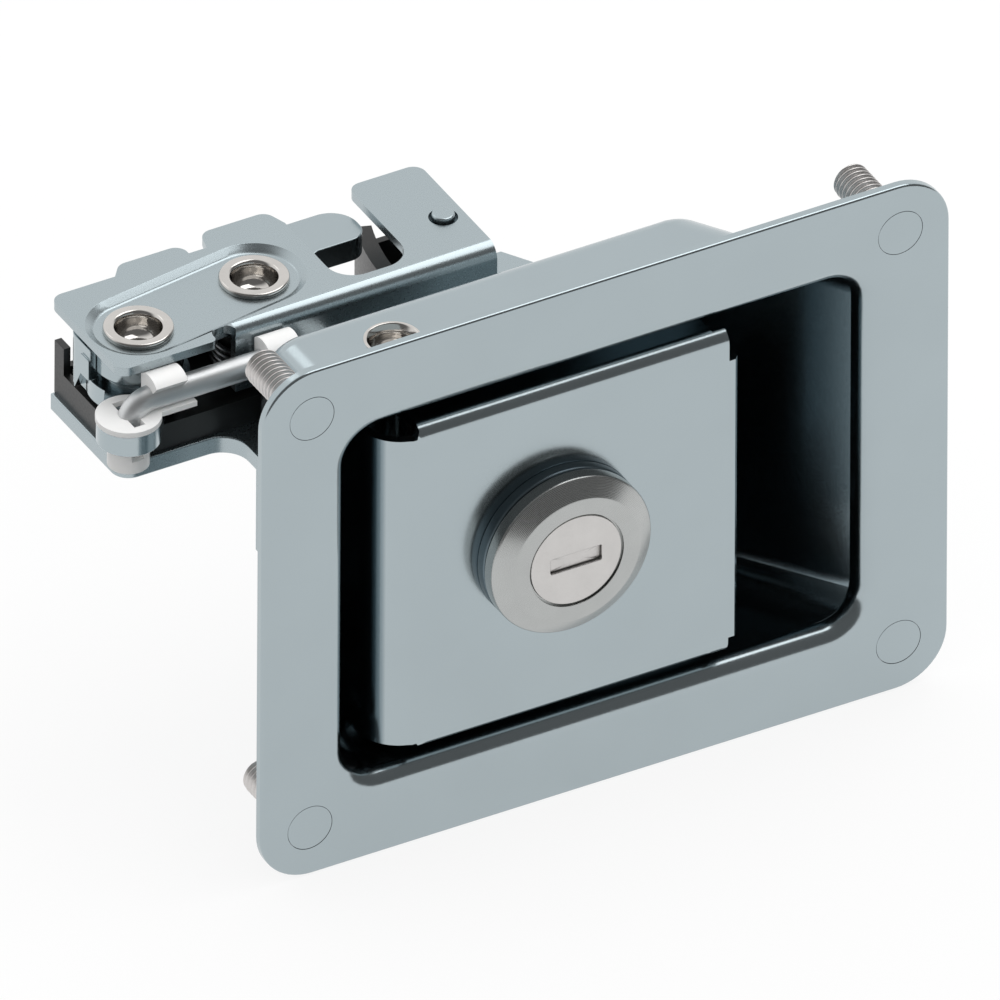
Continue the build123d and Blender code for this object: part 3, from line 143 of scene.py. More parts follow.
class LatchColours(bpy.types.PropertyGroup):
    """Colours of the finishes."""

    zinc: colour_property("Zinc plate", "Clear passivated zinc on sheet", "#AAB5B9")
    # Painted shade: this darker colour is laid on the dish's inside and on the paddle's folds, where shade
    # falls.
    film: colour_property("Passivate film", "Darker film that dries where the bath drains last", "#86949A")
    stud: colour_property("Stud", "Plated rolled thread", "#D3D0CE")
    nickel: colour_property("Nickel", "Bright nickel on the rivets and pins", "#CBC8C4")
    bezel: colour_property("Bezel", "Turned die casting", "#B4B6B5")
    plug: colour_property("Plug", "Face of the key plug", "#CDCBC9")
    washer: colour_property("Washer", "Dark passivated washer", "#66737A")
    spring: colour_property("Spring", "Drawn spring wire", "#8B8C8E")
    nylon: colour_property("Nylon", "Black moulded tray", "#131414")
    acetal: colour_property("Acetal", "White rod clips", "#F3F3F2")
    rod: colour_property("Rod", "Plated wire rod", "#D9DBDC")
    floor: colour_property("Floor", "Studio floor", "#F4F4F4")


# Materials


Blank = namedtuple("Blank", "material tree output coords")


def add_node(tree, kind, inputs=None, links=None, **settings):
    """Adds a node to a tree, with its settings, its inputs' values and its links from other outputs."""
    node = tree.nodes.new(kind)
    for name, value in settings.items():
        setattr(node, name, value)
    for socket, value in (inputs or {}).items():
        node.inputs[socket].default_value = value
    for socket, output in (links or {}).items():
        tree.links.new(output, node.inputs[socket])
    return node


def new_material(name):
    """An empty node material with its output, and the object coordinates that every pattern here reads."""
    material = bpy.data.materials.new(name)
    material.use_nodes = True
    tree = material.node_tree
    tree.nodes.clear()
    output = add_node(tree, "ShaderNodeOutputMaterial")
    coords = add_node(tree, "ShaderNodeTexCoord").outputs["Object"]
    return Blank(material, tree, output, coords)


def finish(made, colour, tone, grain, spread, satin, relief, film=None, **fixed):
    """Builds the shader: colour follows the tone pattern, roughness and relief follow the grain pattern.

    Each pattern is soft noise, given as the size of its patches and its detail, or another node's output.
    The colour runs from its value less the spread to its value plus the spread, and the roughness between
    the two satin values. A painted shade colour takes over where the piece's film attribute is 1, and
    darkens the places where shade falls. Numbers in fixed go straight to the shader's own sockets.
    """
    tree = made.tree
    patterns = []
    for pattern in (tone, grain):
        if isinstance(pattern, tuple):
            values = {"Scale": 1 / pattern[0], "Detail": pattern[1], "Roughness": 0.55}
            noise = add_node(tree, "ShaderNodeTexNoise", values, {"Vector": made.coords})
            pattern = noise.outputs["Fac"]
        patterns.append(pattern)
    tone, grain = patterns
    dark = [(1 - spread) * c for c in colour[:3]] + [1.0]
    pale = [min(1.0, (1 + spread) * c) for c in colour[:3]] + [1.0]
    # Most of a pattern lies between 0.3 and 0.7, so that part is stretched over the whole range.
    reach = {"From Min": 0.3, "From Max": 0.7}
    spot = add_node(tree, "ShaderNodeMapRange", reach, {"Value": tone})
    # A colour Mix has its share in socket 0, its two colours in 6 and 7, and its result in 2.
    shade = add_node(
        tree, "ShaderNodeMix", {6: dark, 7: pale}, {0: spot.outputs["Result"]}, data_type="RGBA"
    )
    skin = shade.outputs[2]
    # Painted shade: where the piece's attribute is 1, this darker colour replaces the skin, where shade
    # falls.
    if film is not None:
        where = add_node(tree, "ShaderNodeAttribute", attribute_name="film").outputs["Fac"]
        covered = add_node(tree, "ShaderNodeMix", {7: film}, {0: where, 6: skin}, data_type="RGBA")
        skin = covered.outputs[2]
    rough = add_node(
        tree, "ShaderNodeMapRange", {**reach, "To Min": satin[0], "To Max": satin[1]}, {"Value": grain}
    )
    bump = add_node(tree, "ShaderNodeBump", {"Strength": 0.5, "Distance": relief}, {"Height": grain})
    shader = add_node(
        tree,
        "ShaderNodeBsdfPrincipled",
        fixed,
        {
            "Base Color": skin,
            "Roughness": rough.outputs["Result"],
            "Normal": bump.outputs["Normal"],
        },
    )
    tree.links.new(shader.outputs["BSDF"], made.output.inputs["Surface"])
    return made.material


def zinc_plated_sheet(colour, film):
    """Cold rolled steel sheet, deep drawn and folded, then bright zinc plated and clear passivated."""
    # Drawing planishes the sheet, so the eye gets a cool, even satin mirror. A darker colour is painted on
    # the dish's inside and on the paddle's folds as painted shade.
    return finish(
        new_material("zinc_plated_sheet"), colour, tone=(18 * MM, 3.0), grain=(0.4 * MM, 2.0),
        spread=0.015, satin=(0.16, 0.22), relief=0.0015 * MM, film=film, Metallic=1.0
    )


def zinc_plated_plate(colour):
    """Hot rolled and pickled steel plate, punched and pressed, then zinc plated and clear passivated."""
    # Pickling leaves the plate's skin finely grained, which gives its faces an even sheen, duller than the
    # thin sheet's. The grain is drawn 0.3 mm across, coarser than the real one, so that it still shows.
    return finish(
        new_material("zinc_plated_plate"), colour, tone=(0.3 * MM, 1.0), grain=(0.3 * MM, 1.0),
        spread=0.008, satin=(0.27, 0.29), relief=0.0002 * MM, Metallic=1.0
    )


def rolled_thread_steel(colour):
    """Steel stud, thread rolled, then plated."""
    # Rolling burnishes the flanks and the plating dulls the roots, so the crests catch the light.
    return finish(
        new_material("rolled_thread_steel"), colour, tone=(0.3 * MM, 2.0), grain=(0.3 * MM, 2.0),
        spread=0.06, satin=(0.3, 0.42), relief=0.004 * MM, Metallic=1.0
    )


def nickel_plated_steel(colour):
    """Deep drawn steel rivet, bright nickel plated."""
    # Bright nickel is a warm mirror, only faintly clouded by the drawing marks.
    return finish(
        new_material("nickel_plated_steel"), colour, tone=(3 * MM, 2.0), grain=(0.5 * MM, 2.0),
        spread=0.04, satin=(0.1, 0.15), relief=0.0002 * MM, Metallic=1.0
    )


def turned_zinc_casting(colour, centre):
    """Zinc die casting, face turned, then satin chromed."""
    # The tool leaves rings 0.2 mm apart that draw the highlights out round the bezel.
    made = new_material("turned_zinc_casting")
    step = 0.2 * MM
    back = [-c for c in centre]
    moved = add_node(made.tree, "ShaderNodeMapping", {"Location": back}, {"Vector": made.coords})
    # A Wave texture has 20 / (2 pi) rings to a unit at a scale of 1.
    rings = add_node(
        made.tree,
        "ShaderNodeTexWave",
        {"Scale": 2 * pi / (20 * step), "Distortion": 1.5, "Detail": 2.0, "Detail Scale": 1.5},
        {"Vector": moved.outputs["Vector"]},
        wave_type="RINGS",
        rings_direction="Y",
    )
    return finish(
        made, colour, tone=(6 * MM, 2.0), grain=rings.outputs["Fac"],
        spread=0.03, satin=(0.22, 0.32), relief=0.002 * MM, Metallic=1.0
    )


def ground_plug_steel(colour):
    """Key plug, pressed from sintered steel and nickel plated."""
    # The open grain of the pressed powder scatters the light, so the face looks pale and even.
    return finish(
        new_material("ground_plug_steel"), colour, tone=(4 * MM, 2.0), grain=(0.25 * MM, 2.0),
        spread=0.03, satin=(0.3, 0.42), relief=0.004 * MM, Metallic=1.0
    )


def dark_passivated_steel(colour):
    """Stamped spring steel washer, dark passivated."""
    # The conversion layer is a thin blue grey skin with a dull sheen.
    return finish(
        new_material("dark_passivated_steel"), colour, tone=(5 * MM, 2.0), grain=(0.3 * MM, 2.0),
        spread=0.06, satin=(0.3, 0.42), relief=0.006 * MM, Metallic=1.0
    )


def drawn_spring_wire(colour):
    """Hard drawn spring wire, oiled."""
    # Drawing leaves a grey metal with a soft gloss along the wire.
    return finish(
        new_material("drawn_spring_wire"), colour, tone=(0.3 * MM, 2.0), grain=(0.3 * MM, 2.0),
        spread=0.08, satin=(0.25, 0.4), relief=0.004 * MM, Metallic=1.0
    )


def plated_wire_rod(colour):
    """Drawn wire, bent cold, then zinc plated."""
    # The drawn skin runs lengthways: the noise is stretched along X, and the gloss stays in long bands.
    made = new_material("plated_wire_rod")
    along = add_node(made.tree, "ShaderNodeMapping", {"Scale": (0.08, 1.0, 1.0)}, {"Vector": made.coords})
    return finish(
        made._replace(coords=along.outputs["Vector"]), colour, tone=(0.6 * MM, 2.0), grain=(0.25 * MM, 2.0),
        spread=0.03, satin=(0.42, 0.5), relief=0.001 * MM, Metallic=1.0
    )


def moulded_nylon(colour):
    """Glass filled black nylon, injection moulded in a spark eroded tool."""
    # The tool's texture and the fibres near the skin make it a dull black with a broken gloss.
    return finish(
        new_material("moulded_nylon"), colour, tone=(5 * MM, 2.0), grain=(0.3 * MM, 2.0),
        spread=0.12, satin=(0.28, 0.42), relief=0.015 * MM, IOR=1.53
    )


def moulded_acetal(colour):
    """Natural white acetal, injection moulded in a polished tool."""
    # Acetal is waxy and slightly see-through, so light goes under its skin and softens the edges.
    under_skin = {
        "Subsurface Weight": 0.2,
        "Subsurface Scale": 0.5 * MM,
        "Subsurface Radius": (1.0, 1.0, 1.0),
    }
    return finish(
        new_material("moulded_acetal"), colour, tone=(4 * MM, 2.0), grain=(0.6 * MM, 2.0),
        spread=0.02, satin=(0.3, 0.4), relief=0.004 * MM, IOR=1.48, **under_skin
    )


# Meshes


def new_object(name, mesh, material, body, slot, *replaced):
    """Puts a finished mesh in the scene as a piece that rides on a body and stands for CAD nodes."""
    piece = bpy.data.objects.new(name, mesh)
    bpy.context.scene.collection.objects.link(piece)
    mesh.materials.clear()
    mesh.materials.append(material)
    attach(piece, body)
    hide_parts(*replaced)
    return piece


def dressed_copy(node, body, slot, material, edge, segments=2, weigh=None, film=None, reshape=None):
    """A merged copy of a CAD node, smooth on its curves, with its sharp edges broken.

    weigh gives each edge's share of the edge radius from its middle and its turn, film gives the
    painted shade attribute from the points' places, and reshape changes the merged copy first.
    """
    mesh = bpy.data.meshes.new(node)
    work = bmesh.new()
    work.from_mesh(NODES[node].data)
    bmesh.ops.remove_doubles(work, verts=work.verts, dist=2 * TOUCH)
    if reshape:
        reshape(work)
    bmesh.ops.dissolve_limit(work, angle_limit=FLAT, verts=work.verts, edges=work.edges)
    for face in work.faces:
        face.smooth = True
    share = work.edges.layers.float.new("bevel_weight_edge")
    for side in work.edges:
        turn = side.calc_face_angle(pi)
        side.smooth = turn < SMOOTH
        if turn > BROKEN:
            middle_point = (side.verts[0].co + side.verts[1].co) / 2
            side[share] = weigh(middle_point, turn) if weigh else 1.0
    work.to_mesh(mesh)
    work.free()
    # Painted shade: each point gets 1 where the darker colour is to be painted, and 0 elsewhere.
    if film:
        points = np.empty(3 * len(mesh.vertices))
        mesh.vertices.foreach_get("co", points)
        layer = mesh.attributes.new("film", "FLOAT", "POINT")
        layer.data.foreach_set("value", film(points.reshape(-1, 3)).astype(np.float32))
    piece = new_object("dressed_" + node, mesh, material, body, slot, node)
    if edge:
        broken = piece.modifiers.new("broken_edge", "BEVEL")
        broken.width = edge
        broken.segments = segments
        broken.limit_method = "WEIGHT"
    weighted = piece.modifiers.new("flat_faces", "WEIGHTED_NORMAL")
    weighted.keep_sharp = True
    return piece


def round_edges(work, edges, radius, segments):
    """Rounds chosen edges of a merged copy."""
    bmesh.ops.bevel(
        work,
        geom=edges,
        offset=radius,
        offset_type="OFFSET",
        segments=segments,
        profile=0.5,
        affect="EDGES",
        clamp_overlap=False,
    )


def soft_line(corners, cuts, steps=6):
    """A line of straight runs with its corners rounded.

    Each corner C is cut back on both sides by its own length, to A and B, and bridged by the parabola
    (1 - t)^2 A + 2 t (1 - t) C + t^2 B. The two ends have a cut of 0.
    """
    corners = np.asarray(corners, dtype=float)
    cuts = np.asarray(cuts, dtype=float)[:, None]
    before = np.vstack((corners[:1], corners[:-1])) - corners
    after = np.vstack((corners[1:], corners[-1:])) - corners
    before /= np.maximum(np.linalg.norm(before, axis=1, keepdims=True), 1e-12)
    after /= np.maximum(np.linalg.norm(after, axis=1, keepdims=True), 1e-12)
    t = np.linspace(0, 1, steps)[None, :, None]
    start = (corners + cuts * before)[:, None]
    end = (corners + cuts * after)[:, None]
    line = ((1 - t) ** 2 * start + 2 * t * (1 - t) * corners[:, None] + t**2 * end).reshape(-1, 2)
    moved = np.linalg.norm(np.diff(line, axis=0), axis=1) > 1e-8
    return line[np.concatenate(([True], moved))]


def turned(line, centre, axis, turns=96):
    """The grid of a line of (radius, height) points turned round an axis.

    P = centre + height * axis + radius * (cos a * u + sin a * v), with u and v square to the axis.
    """
    axis = np.asarray(axis, dtype=float)
    u = np.cross(axis, (0.0, 0.0, 1.0) if abs(axis[2]) < 0.5 else (1.0, 0.0, 0.0))
    v = np.cross(axis, u)
    angle = np.arange(turns) * 2 * pi / turns
    spokes = np.cos(angle)[:, None] * u + np.sin(angle)[:, None] * v
    return np.asarray(centre) + line[:, 1, None, None] * axis + line[:, 0, None, None] * spokes


def carried(path, radius, side, turns=32):
    """The grid of a circle carried along a path of points in one plane, whose normal is side.

    P = path + radius * (cos a * side + sin a * (tangent x side)), the tangent by central differences.
    """
    tangent = np.gradient(path, axis=0)
    tangent /= np.linalg.norm(tangent, axis=1, keepdims=True)
    other = np.cross(tangent, side)
    angle = np.arange(turns) * 2 * pi / turns
    ring = np.cos(angle)[None, :, None] * np.asarray(side) + np.sin(angle)[None, :, None] * other[:, None]
    return path[:, None] + np.asarray(radius)[:, None, None] * ring


def grid_mesh(name, grids, loop=False, sharp=35):
    """A mesh of grids that close round their columns, and with loop round their rows too.

    Points that meet at a pole are merged, the faces are turned outwards, and edges that turn more than
    sharp, in degrees, stay sharp.
    """
    points = np.concatenate([g.reshape(-1, 3) for g in grids])
    quads = []
    first = 0
    for g in grids:
        rows, columns = g.shape[:2]
        row = np.arange(rows if loop else rows - 1)[:, None]
        column = np.arange(columns)[None, :]
        here, there = row * columns, (row + 1) % rows * columns
        beside = (column + 1) % columns
        corners = (here + column, here + beside, there + beside, there + column)
        quads.append(first + np.stack(corners, axis=-1).reshape(-1, 4))
        first += rows * columns
    mesh = bpy.data.meshes.new(name)
    mesh.from_pydata(points.tolist(), [], np.concatenate(quads).tolist())
    work = bmesh.new()
    work.from_mesh(mesh)
    bmesh.ops.remove_doubles(work, verts=work.verts, dist=TOUCH)
    bmesh.ops.recalc_face_normals(work, faces=work.faces)
    work.to_mesh(mesh)
    work.free()
    mesh.polygons.foreach_set("use_smooth", np.ones(len(mesh.polygons), dtype=bool))
    mesh.set_sharp_from_angle(angle=radians(sharp))
    return mesh


def middle(node):
    """The centre of a node's box, with its low and high corners."""
    low, high = (np.array(corner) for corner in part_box(node))
    return (low + high) / 2, low, high


RIVETS = np.array([middle(name)[0][:2] for name in ("rivet_left", "rivet_right")])


# Operators


class LATCH_OT_stage(bpy.types.Operator):
    """Makes the camera, the floor, the world and the lamps"""

    bl_idname = "latch.stage"
    bl_label = "Stage"

    def execute(self, context):
        # The photograph is a parallel view. Its right and up are given in the frame's axes, and its middle
        # by how far the middle of the flange's face lies right of it and below it.
        right = Vector((0.87522, -0.48374, 0.004204))
        up = Vector((0.27629, 0.50698, 0.81650))
        ahead = right.cross(up) * -1
        face_middle = Vector((0, -1.5, 0)) * MM
        face_right, face_below = 16.10 * MM, 4.633 * MM
        centre = face_middle - face_right * right + face_below * up
        pixels, pixels_per_mm = 1000, 6.54
        distance = 0.8
        data = bpy.data.cameras.new("camera")
        data.type = "ORTHO"
        data.ortho_scale = pixels / pixels_per_mm * MM
        data.clip_start = 0.01
        data.clip_end = 20.0
        camera = bpy.data.objects.new("camera", data)
        context.scene.collection.objects.link(camera)
        turn = Matrix((right, up, -ahead)).transposed()
        camera.matrix_world = Matrix.Translation(centre - ahead * distance) @ turn.to_4x4()
        context.scene.camera = camera

        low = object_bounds()[0]
        mesh = bpy.data.meshes.new("floor")
        half, gap = 3.0, 0.0002
        corners = [(-half, -half), (half, -half), (half, half), (-half, half)]
        mesh.from_pydata([(x, y, low.z - gap) for x, y in corners], [], [(0, 1, 2, 3)])
        floor = bpy.data.objects.new("floor", mesh)
        context.scene.collection.objects.link(floor)
        floor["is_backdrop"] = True
        mesh.materials.append(self.paper(context))

        world = bpy.data.worlds.new("studio")
        context.scene.world = world
        world.use_nodes = True
        tree = world.node_tree
        tree.nodes.clear()
        output = add_node(tree, "ShaderNodeOutputWorld")
        level = add_node(
            tree, "ShaderNodeMapRange", {"To Min": 0.95, "To Max": 1.0}, {"Value": self.shown(tree)}
        )
        # The room is unlit on the photographer's side, and only gloss shows it: from 0.45 behind the object
        # to 0.1 in front of it, the light falls by 0.85.
        way = add_node(tree, "ShaderNodeTexCoord").outputs["Object"]
        towards = add_node(tree, "ShaderNodeSeparateXYZ", links={0: way}).outputs["Y"]
        unlit = add_node(
            tree,
            "ShaderNodeMapRange",
            {"From Min": 0.45, "From Max": -0.1, "To Min": 0.0, "To Max": 0.85},
            {"Value": towards},
            interpolation_type="SMOOTHSTEP",
        ).outputs["Result"]
        gloss = add_node(tree, "ShaderNodeLightPath").outputs["Is Glossy Ray"]
        taken = add_node(tree, "ShaderNodeMath", links={0: unlit, 1: gloss}, operation="MULTIPLY")
        left = add_node(
            tree,
            "ShaderNodeMath",
            links={0: level.outputs["Result"], 1: taken.outputs[0]},
            operation="SUBTRACT",
            use_clamp=True,
        )
        sky = add_node(
            tree, "ShaderNodeBackground", {"Color": (1, 1, 1, 1)}, {"Strength": left.outputs[0]}
        )
        tree.links.new(sky.outputs[0], output.inputs["Surface"])

        # Each lamp has its place and width in metres, and its power in watts.
        for name, place, size, power in (
            ("lamp_above", (0.38, 0.05, 0.85), 0.6, 2.3),
            ("lamp_behind", (-0.14, 0.64, 0.62), 0.22, 0.1),
        ):
            light = bpy.data.lights.new(name, "AREA")
            light.shape = "SQUARE"
            light.size = size
            light.energy = power
            lamp = bpy.data.objects.new(name, light)
            lamp.location = place
            lamp.rotation_euler = (-lamp.location).to_track_quat("-Z", "Y").to_euler()
            context.scene.collection.objects.link(lamp)
        context.scene.view_settings.view_transform = "Standard"
        return {"FINISHED"}

    @staticmethod
    def shown(tree):
        """1 for camera, glossy and transmission rays, which see the white background, and 0 for the rest."""
        path = add_node(tree, "ShaderNodeLightPath").outputs
        seen = path["Is Camera Ray"]
        for ray in ("Is Glossy Ray", "Is Transmission Ray"):
            either = add_node(tree, "ShaderNodeMath", links={0: seen, 1: path[ray]}, operation="MAXIMUM")
            seen = either.outputs[0]
        return seen

    def paper(self, context):
        """Matt white paper that keeps a faint shadow and shows white to the camera and in gloss."""
        made = new_material("studio_paper")
        pale = tuple(context.scene.latch_colours.floor)
        shine = self.shown(made.tree)
        glow_share = 0.84
        white = (1, 1, 1, 1)
        paper = add_node(made.tree, "ShaderNodeBsdfDiffuse", {"Color": pale}).outputs[0]
        glow = add_node(made.tree, "ShaderNodeEmission", {"Color": white}, {"Strength": shine}).outputs[0]
        both = add_node(made.tree, "ShaderNodeMixShader", {"Fac": glow_share}, {1: paper, 2: glow})
        made.tree.links.new(both.outputs[0], made.output.inputs["Surface"])
        return made.material


class LATCH_OT_sheet(bpy.types.Operator):
    """Dresses the drawn dish and the folded paddle with its arm"""

    bl_idname = "latch.sheet"
    bl_label = "Dish and paddle"

    def execute(self, context):
        sizes = context.scene.latch_sizes
        colours = context.scene.latch_colours
        material = zinc_plated_sheet(colours.zinc, tuple(colours.film))

        # The dish inside its lip, as half its width and height and from front to back, takes the painted
        # shade.
        dish_x, dish_z = 45.1 * MM, 32.6 * MM
        film_front, film_back = 0.9 * MM, 25.2 * MM
        # The flange lies beyond these, and its rim runs past the studs' heads.
        flange_x, flange_z = 50 * MM, 37 * MM
        stud_x, stud_z, clear_of_stud = 51.4 * MM, 38.3 * MM, 6 * MM

        def round_flange(work):
            """Rounds the flange's outer front edge."""
            face = middle("pan")[1][1]
            rim = []
            for side in work.edges:
                point = (side.verts[0].co + side.verts[1].co) / 2
                outside = abs(point.x) > flange_x or abs(point.z) > flange_z
                to_stud = np.hypot(abs(point.x) - stud_x, abs(point.z) - stud_z)
                if (
                    outside
                    and all(abs(v.co.y - face) < TOUCH for v in side.verts)
                    and side.calc_face_angle(0) > radians(60)
                    and to_stud > clear_of_stud
                ):
                    rim.append(side)
            round_edges(work, rim, sizes.sheet_edge, 4)

        def in_dish(points):
            """1 on the dish's inner wall and floor, where shade is painted, 0 elsewhere."""
            x, y, z = points.T
            return (np.abs(x) < dish_x) & (np.abs(z) < dish_z) & (y > film_front) & (y < film_back)

        def behind_face(points):
            """1 on the paddle's folds, where shade is painted, 0 on its face."""
            return points[:, 1] > 0.3 * MM

        low, high = middle("paddle")[1:]
        front, top, right = low[1], high[2], high[0]
        bend = sizes.fold_bend
        # The right tab's outer bend, and a radius between its inner and outer skin.
        tab, tab_skin = 2.2 * MM, 1.6 * MM
        # How far from a fold or from the face's corner the solid's points are drawn onto them.
        fold_step, corner_step, slack = 0.2 * MM, 0.3 * MM, 0.05 * MM
        # The end fold begins here, and this is the height of its upper and lower rim.
        wing, wing_top = -32.6 * MM, 28.4 * MM

        def in_corner(face, way):
            """Whether a face lies outside on the front, on a fold or across its end, near the bend."""
            points = [v.co for v in face.verts]
            first, last = min(c.x for c in points), max(c.x for c in points)
            on_front = all(abs(c.y - front) < TOUCH for c in points)
            on_fold = all(abs(way * c.z - top) < TOUCH for c in points)
            on_end = last - first < TOUCH
            near = max(way * c.z for c in points) > top - bend
            return near and (on_front or on_fold or on_end) and first > wing

        def bend_folds(work):
            """Squares the corners at the folds and the right tab, then draws the folds to an arc.

            The corner is cut by planes through the arc's axis, and each outer point then moves along its
            ray from the axis until it is one bend radius away.
            """
            for point in work.verts:
                across, deep = point.co.x - right + tab, front + tab - point.co.y
                if across > slack and deep > slack and np.hypot(across, deep) > tab_skin:
                    if deep >= across - TOUCH:
                        point.co.y = front
                    if across >= deep - TOUCH:
                        point.co.x = right
                if abs(point.co.z) > top - fold_step:
                    point.co.z = copysign(top, point.co.z)
                if abs(point.co.z) > top - corner_step and point.co.y < front + corner_step:
                    point.co.y = front
                    point.co.z = copysign(top, point.co.z)
                if point.co.x < wing and abs(point.co.z) > wing_top:
                    point.co.z = copysign(wing_top, point.co.z)
            bmesh.ops.remove_doubles(work, verts=work.verts, dist=TOUCH)
            bmesh.ops.dissolve_degenerate(work, dist=TOUCH / 10, edges=work.edges)
            for way in (1, -1):
                axis = Vector((0, front + bend, way * (top - bend)))
                for angle in np.linspace(0, pi / 2, 9):
                    corner = [f for f in work.faces if in_corner(f, way)]
                    sides = {e for f in corner for e in f.edges}
                    points = {v for f in corner for v in f.verts}
                    bmesh.ops.bisect_plane(
                        work,
                        geom=corner + list(sides) + list(points),
                        dist=TOUCH / 10,
                        plane_co=axis,
                        plane_no=(0, np.sin(angle), way * np.cos(angle)),
                    )
                for point in work.verts:
                    out = point.co - axis
                    out.x = 0
                    outside = abs(point.co.y - front) < TOUCH or abs(way * point.co.z - top) < TOUCH
                    if outside and point.co.x > wing and out.y < TOUCH and way * out.z > -TOUCH:
                        point.co.y = axis.y + bend * out.y / out.length
                        point.co.z = axis.z + bend * out.z / out.length

        # Each piece's mask gives where shade is painted on it.
        for node, body, film, reshape in (
            ("pan", "frame", in_dish, round_flange),
            ("paddle", "paddle", behind_face, bend_folds),
            ("paddle_arm", "paddle", behind_face, None),
        ):
            dressed_copy(node, body, "zinc_sheet", material, sizes.fine_edge, film=film, reshape=reshape)
        return {"FINISHED"}


class LATCH_OT_plates(bpy.types.Operator):
    """Dresses the base plate and the pressed top plate"""

    bl_idname = "latch.plates"
    bl_label = "Plates"

    def execute(self, context):
        sizes = context.scene.latch_sizes
        material = zinc_plated_plate(context.scene.latch_colours.zinc)
        dressed_copy("base_plate", "frame", "zinc_sheet", material, sizes.plate_edge, 3)
        # All edges but the slope's are a fifth tighter than the thin sheet's, as a share of the wide radius.
        fine = sizes.sheet_edge / sizes.recess_edge * 0.8
        top = middle("top_plate")[2][2]
        line = RIVETS[1] - RIVETS[0]
        # The slope round the sunk field: its height, how far its upper edge is drawn outwards, and between
        # which distances from the line between the rivets that edge and the slope's soft corners lie.
        height, drawn = 0.74 * MM, 0.4 * MM
        edge_near, edge_far = 7.2 * MM, 7.9 * MM
        soft_near, soft_far, soft_down = 7 * MM, 9 * MM, 2 * MM

        def to_rivets(point):
            """The way from the line between the rivets to a point, seen from above."""
            out = np.array((point.x, point.y)) - RIVETS[0]
            return out - min(1.0, max(0.0, out @ line / (line @ line))) * line

        def on_slope(point, turn):
            """The soft corners of the slope take the wide radius, all else the sheet's."""
            away = np.linalg.norm(to_rivets(point))
            soft = turn < radians(60) and soft_near < away < soft_far and point.z > top - soft_down
            return 1.0 if soft else fine

        def ease_slope(work):
            """Draws the slope's upper edge outwards, so that it falls at 35 degrees."""
            for point in work.verts:
                out = to_rivets(point.co)
                away = np.linalg.norm(out)
                rise = (point.co.z - top + height) / height
                if rise > 0.05 and edge_near < away < edge_far:
                    point.co.x += drawn * rise * out[0] / away
                    point.co.y += drawn * rise * out[1] / away

        look = {"weigh": on_slope, "reshape": ease_slope}
        dressed_copy("top_plate", "frame", "zinc_sheet", material, sizes.recess_edge, 3, **look)
        return {"FINISHED"}


class LATCH_OT_catch(bpy.types.Operator):
    """Dresses the rotor, the pawl, the trigger lever and the lock's cam"""

    bl_idname = "latch.catch"
    bl_label = "Catch"

    def execute(self, context):
        sizes = context.scene.latch_sizes
        colours = context.scene.latch_colours
        material = zinc_plated_sheet(colours.zinc, tuple(colours.film))
        for node, body in (
            ("rotor", "rotor"),
            ("pawl", "release"),
            ("trigger_lever", "release"),
            ("lock_cam", "key_plug"),
        ):
            dressed_copy(node, body, "zinc_sheet", material, sizes.fine_edge)
        return {"FINISHED"}


class LATCH_OT_studs(bpy.types.Operator):
    """Makes the four threaded studs and their flush heads"""

    bl_idname = "latch.studs"
    bl_label = "Studs"

    def execute(self, context):
        sizes = context.scene.latch_sizes
        colours = context.scene.latch_colours
        low, high = middle("mounting_studs")[1:]
        head_radius = 3.9 * MM
        spots = [
            (x, 0.0, z)
            for x in (low[0] + head_radius, high[0] - head_radius)
            for z in (low[2] + head_radius, high[2] - head_radius)
        ]
        threads = [self.thread(sizes, np.array(spot), high[1]) for spot in spots]
        steel = rolled_thread_steel(colours.stud)
        mesh = grid_mesh("stud_threads", threads, sharp=60)
        new_object("stud_threads", mesh, steel, "frame", "stud_steel", "mounting_studs")
        face = head_radius - sizes.head_gap
        line = soft_line(
            [(0, -sizes.sheet), (face, -sizes.sheet), (face, 0), (0, 0)], [0, sizes.fine_edge, 0, 0]
        )
        heads = [turned(line, spot, (0, 1, 0), 64) for spot in spots]
        zinc = zinc_plated_sheet(colours.zinc, tuple(colours.film))
        mesh = grid_mesh("stud_heads", heads)
        new_object("stud_heads", mesh, zinc, "frame", "stud_steel", "mounting_studs")
        return {"FINISHED"}

    @staticmethod
    def thread(sizes, spot, end):
        """A shank with a rolled thread, as a radius over the angle a and the distance y along the shank.

        The radius is the outer radius less the depth times a wave of (y / pitch - a / full turn): 0 on the
        crest, 1 in the root, with straight flanks and rounded ends. The wave fades in from the plain shank,
        and the radius falls in line over the last stretch, to the chamfered point.
        """
        turns, rows_a_pitch = 48, 10
        crest = 0.12
        rows = int(round(end / sizes.thread_pitch)) * rows_a_pitch + 1
        y = np.linspace(0, end, rows)[:, None]
        angle = (np.arange(turns) * 2 * pi / turns)[None, :]
        phase = (y / sizes.thread_pitch - angle / (2 * pi)) % 1
        flank = np.clip((1 - np.abs(2 * phase - 1) - crest) / (1 - 2 * crest), 0, 1)
        wave = flank * flank * (3 - 2 * flank)
        fade = np.clip((y - sizes.thread_start) / sizes.thread_pitch, 0, 1)
        cone = np.clip((y - end + sizes.stud_point) / sizes.stud_point, 0, 1) * sizes.stud_point
        radius = sizes.stud_radius - np.maximum(sizes.thread_depth * wave * fade, cone)
        grid = np.stack((radius * np.cos(angle), y + 0 * angle, radius * np.sin(angle)), axis=-1)
        last = np.array([[[0.0, end, 0.0]]]) + 0 * grid[-1:]
        return spot + np.concatenate((grid, last))


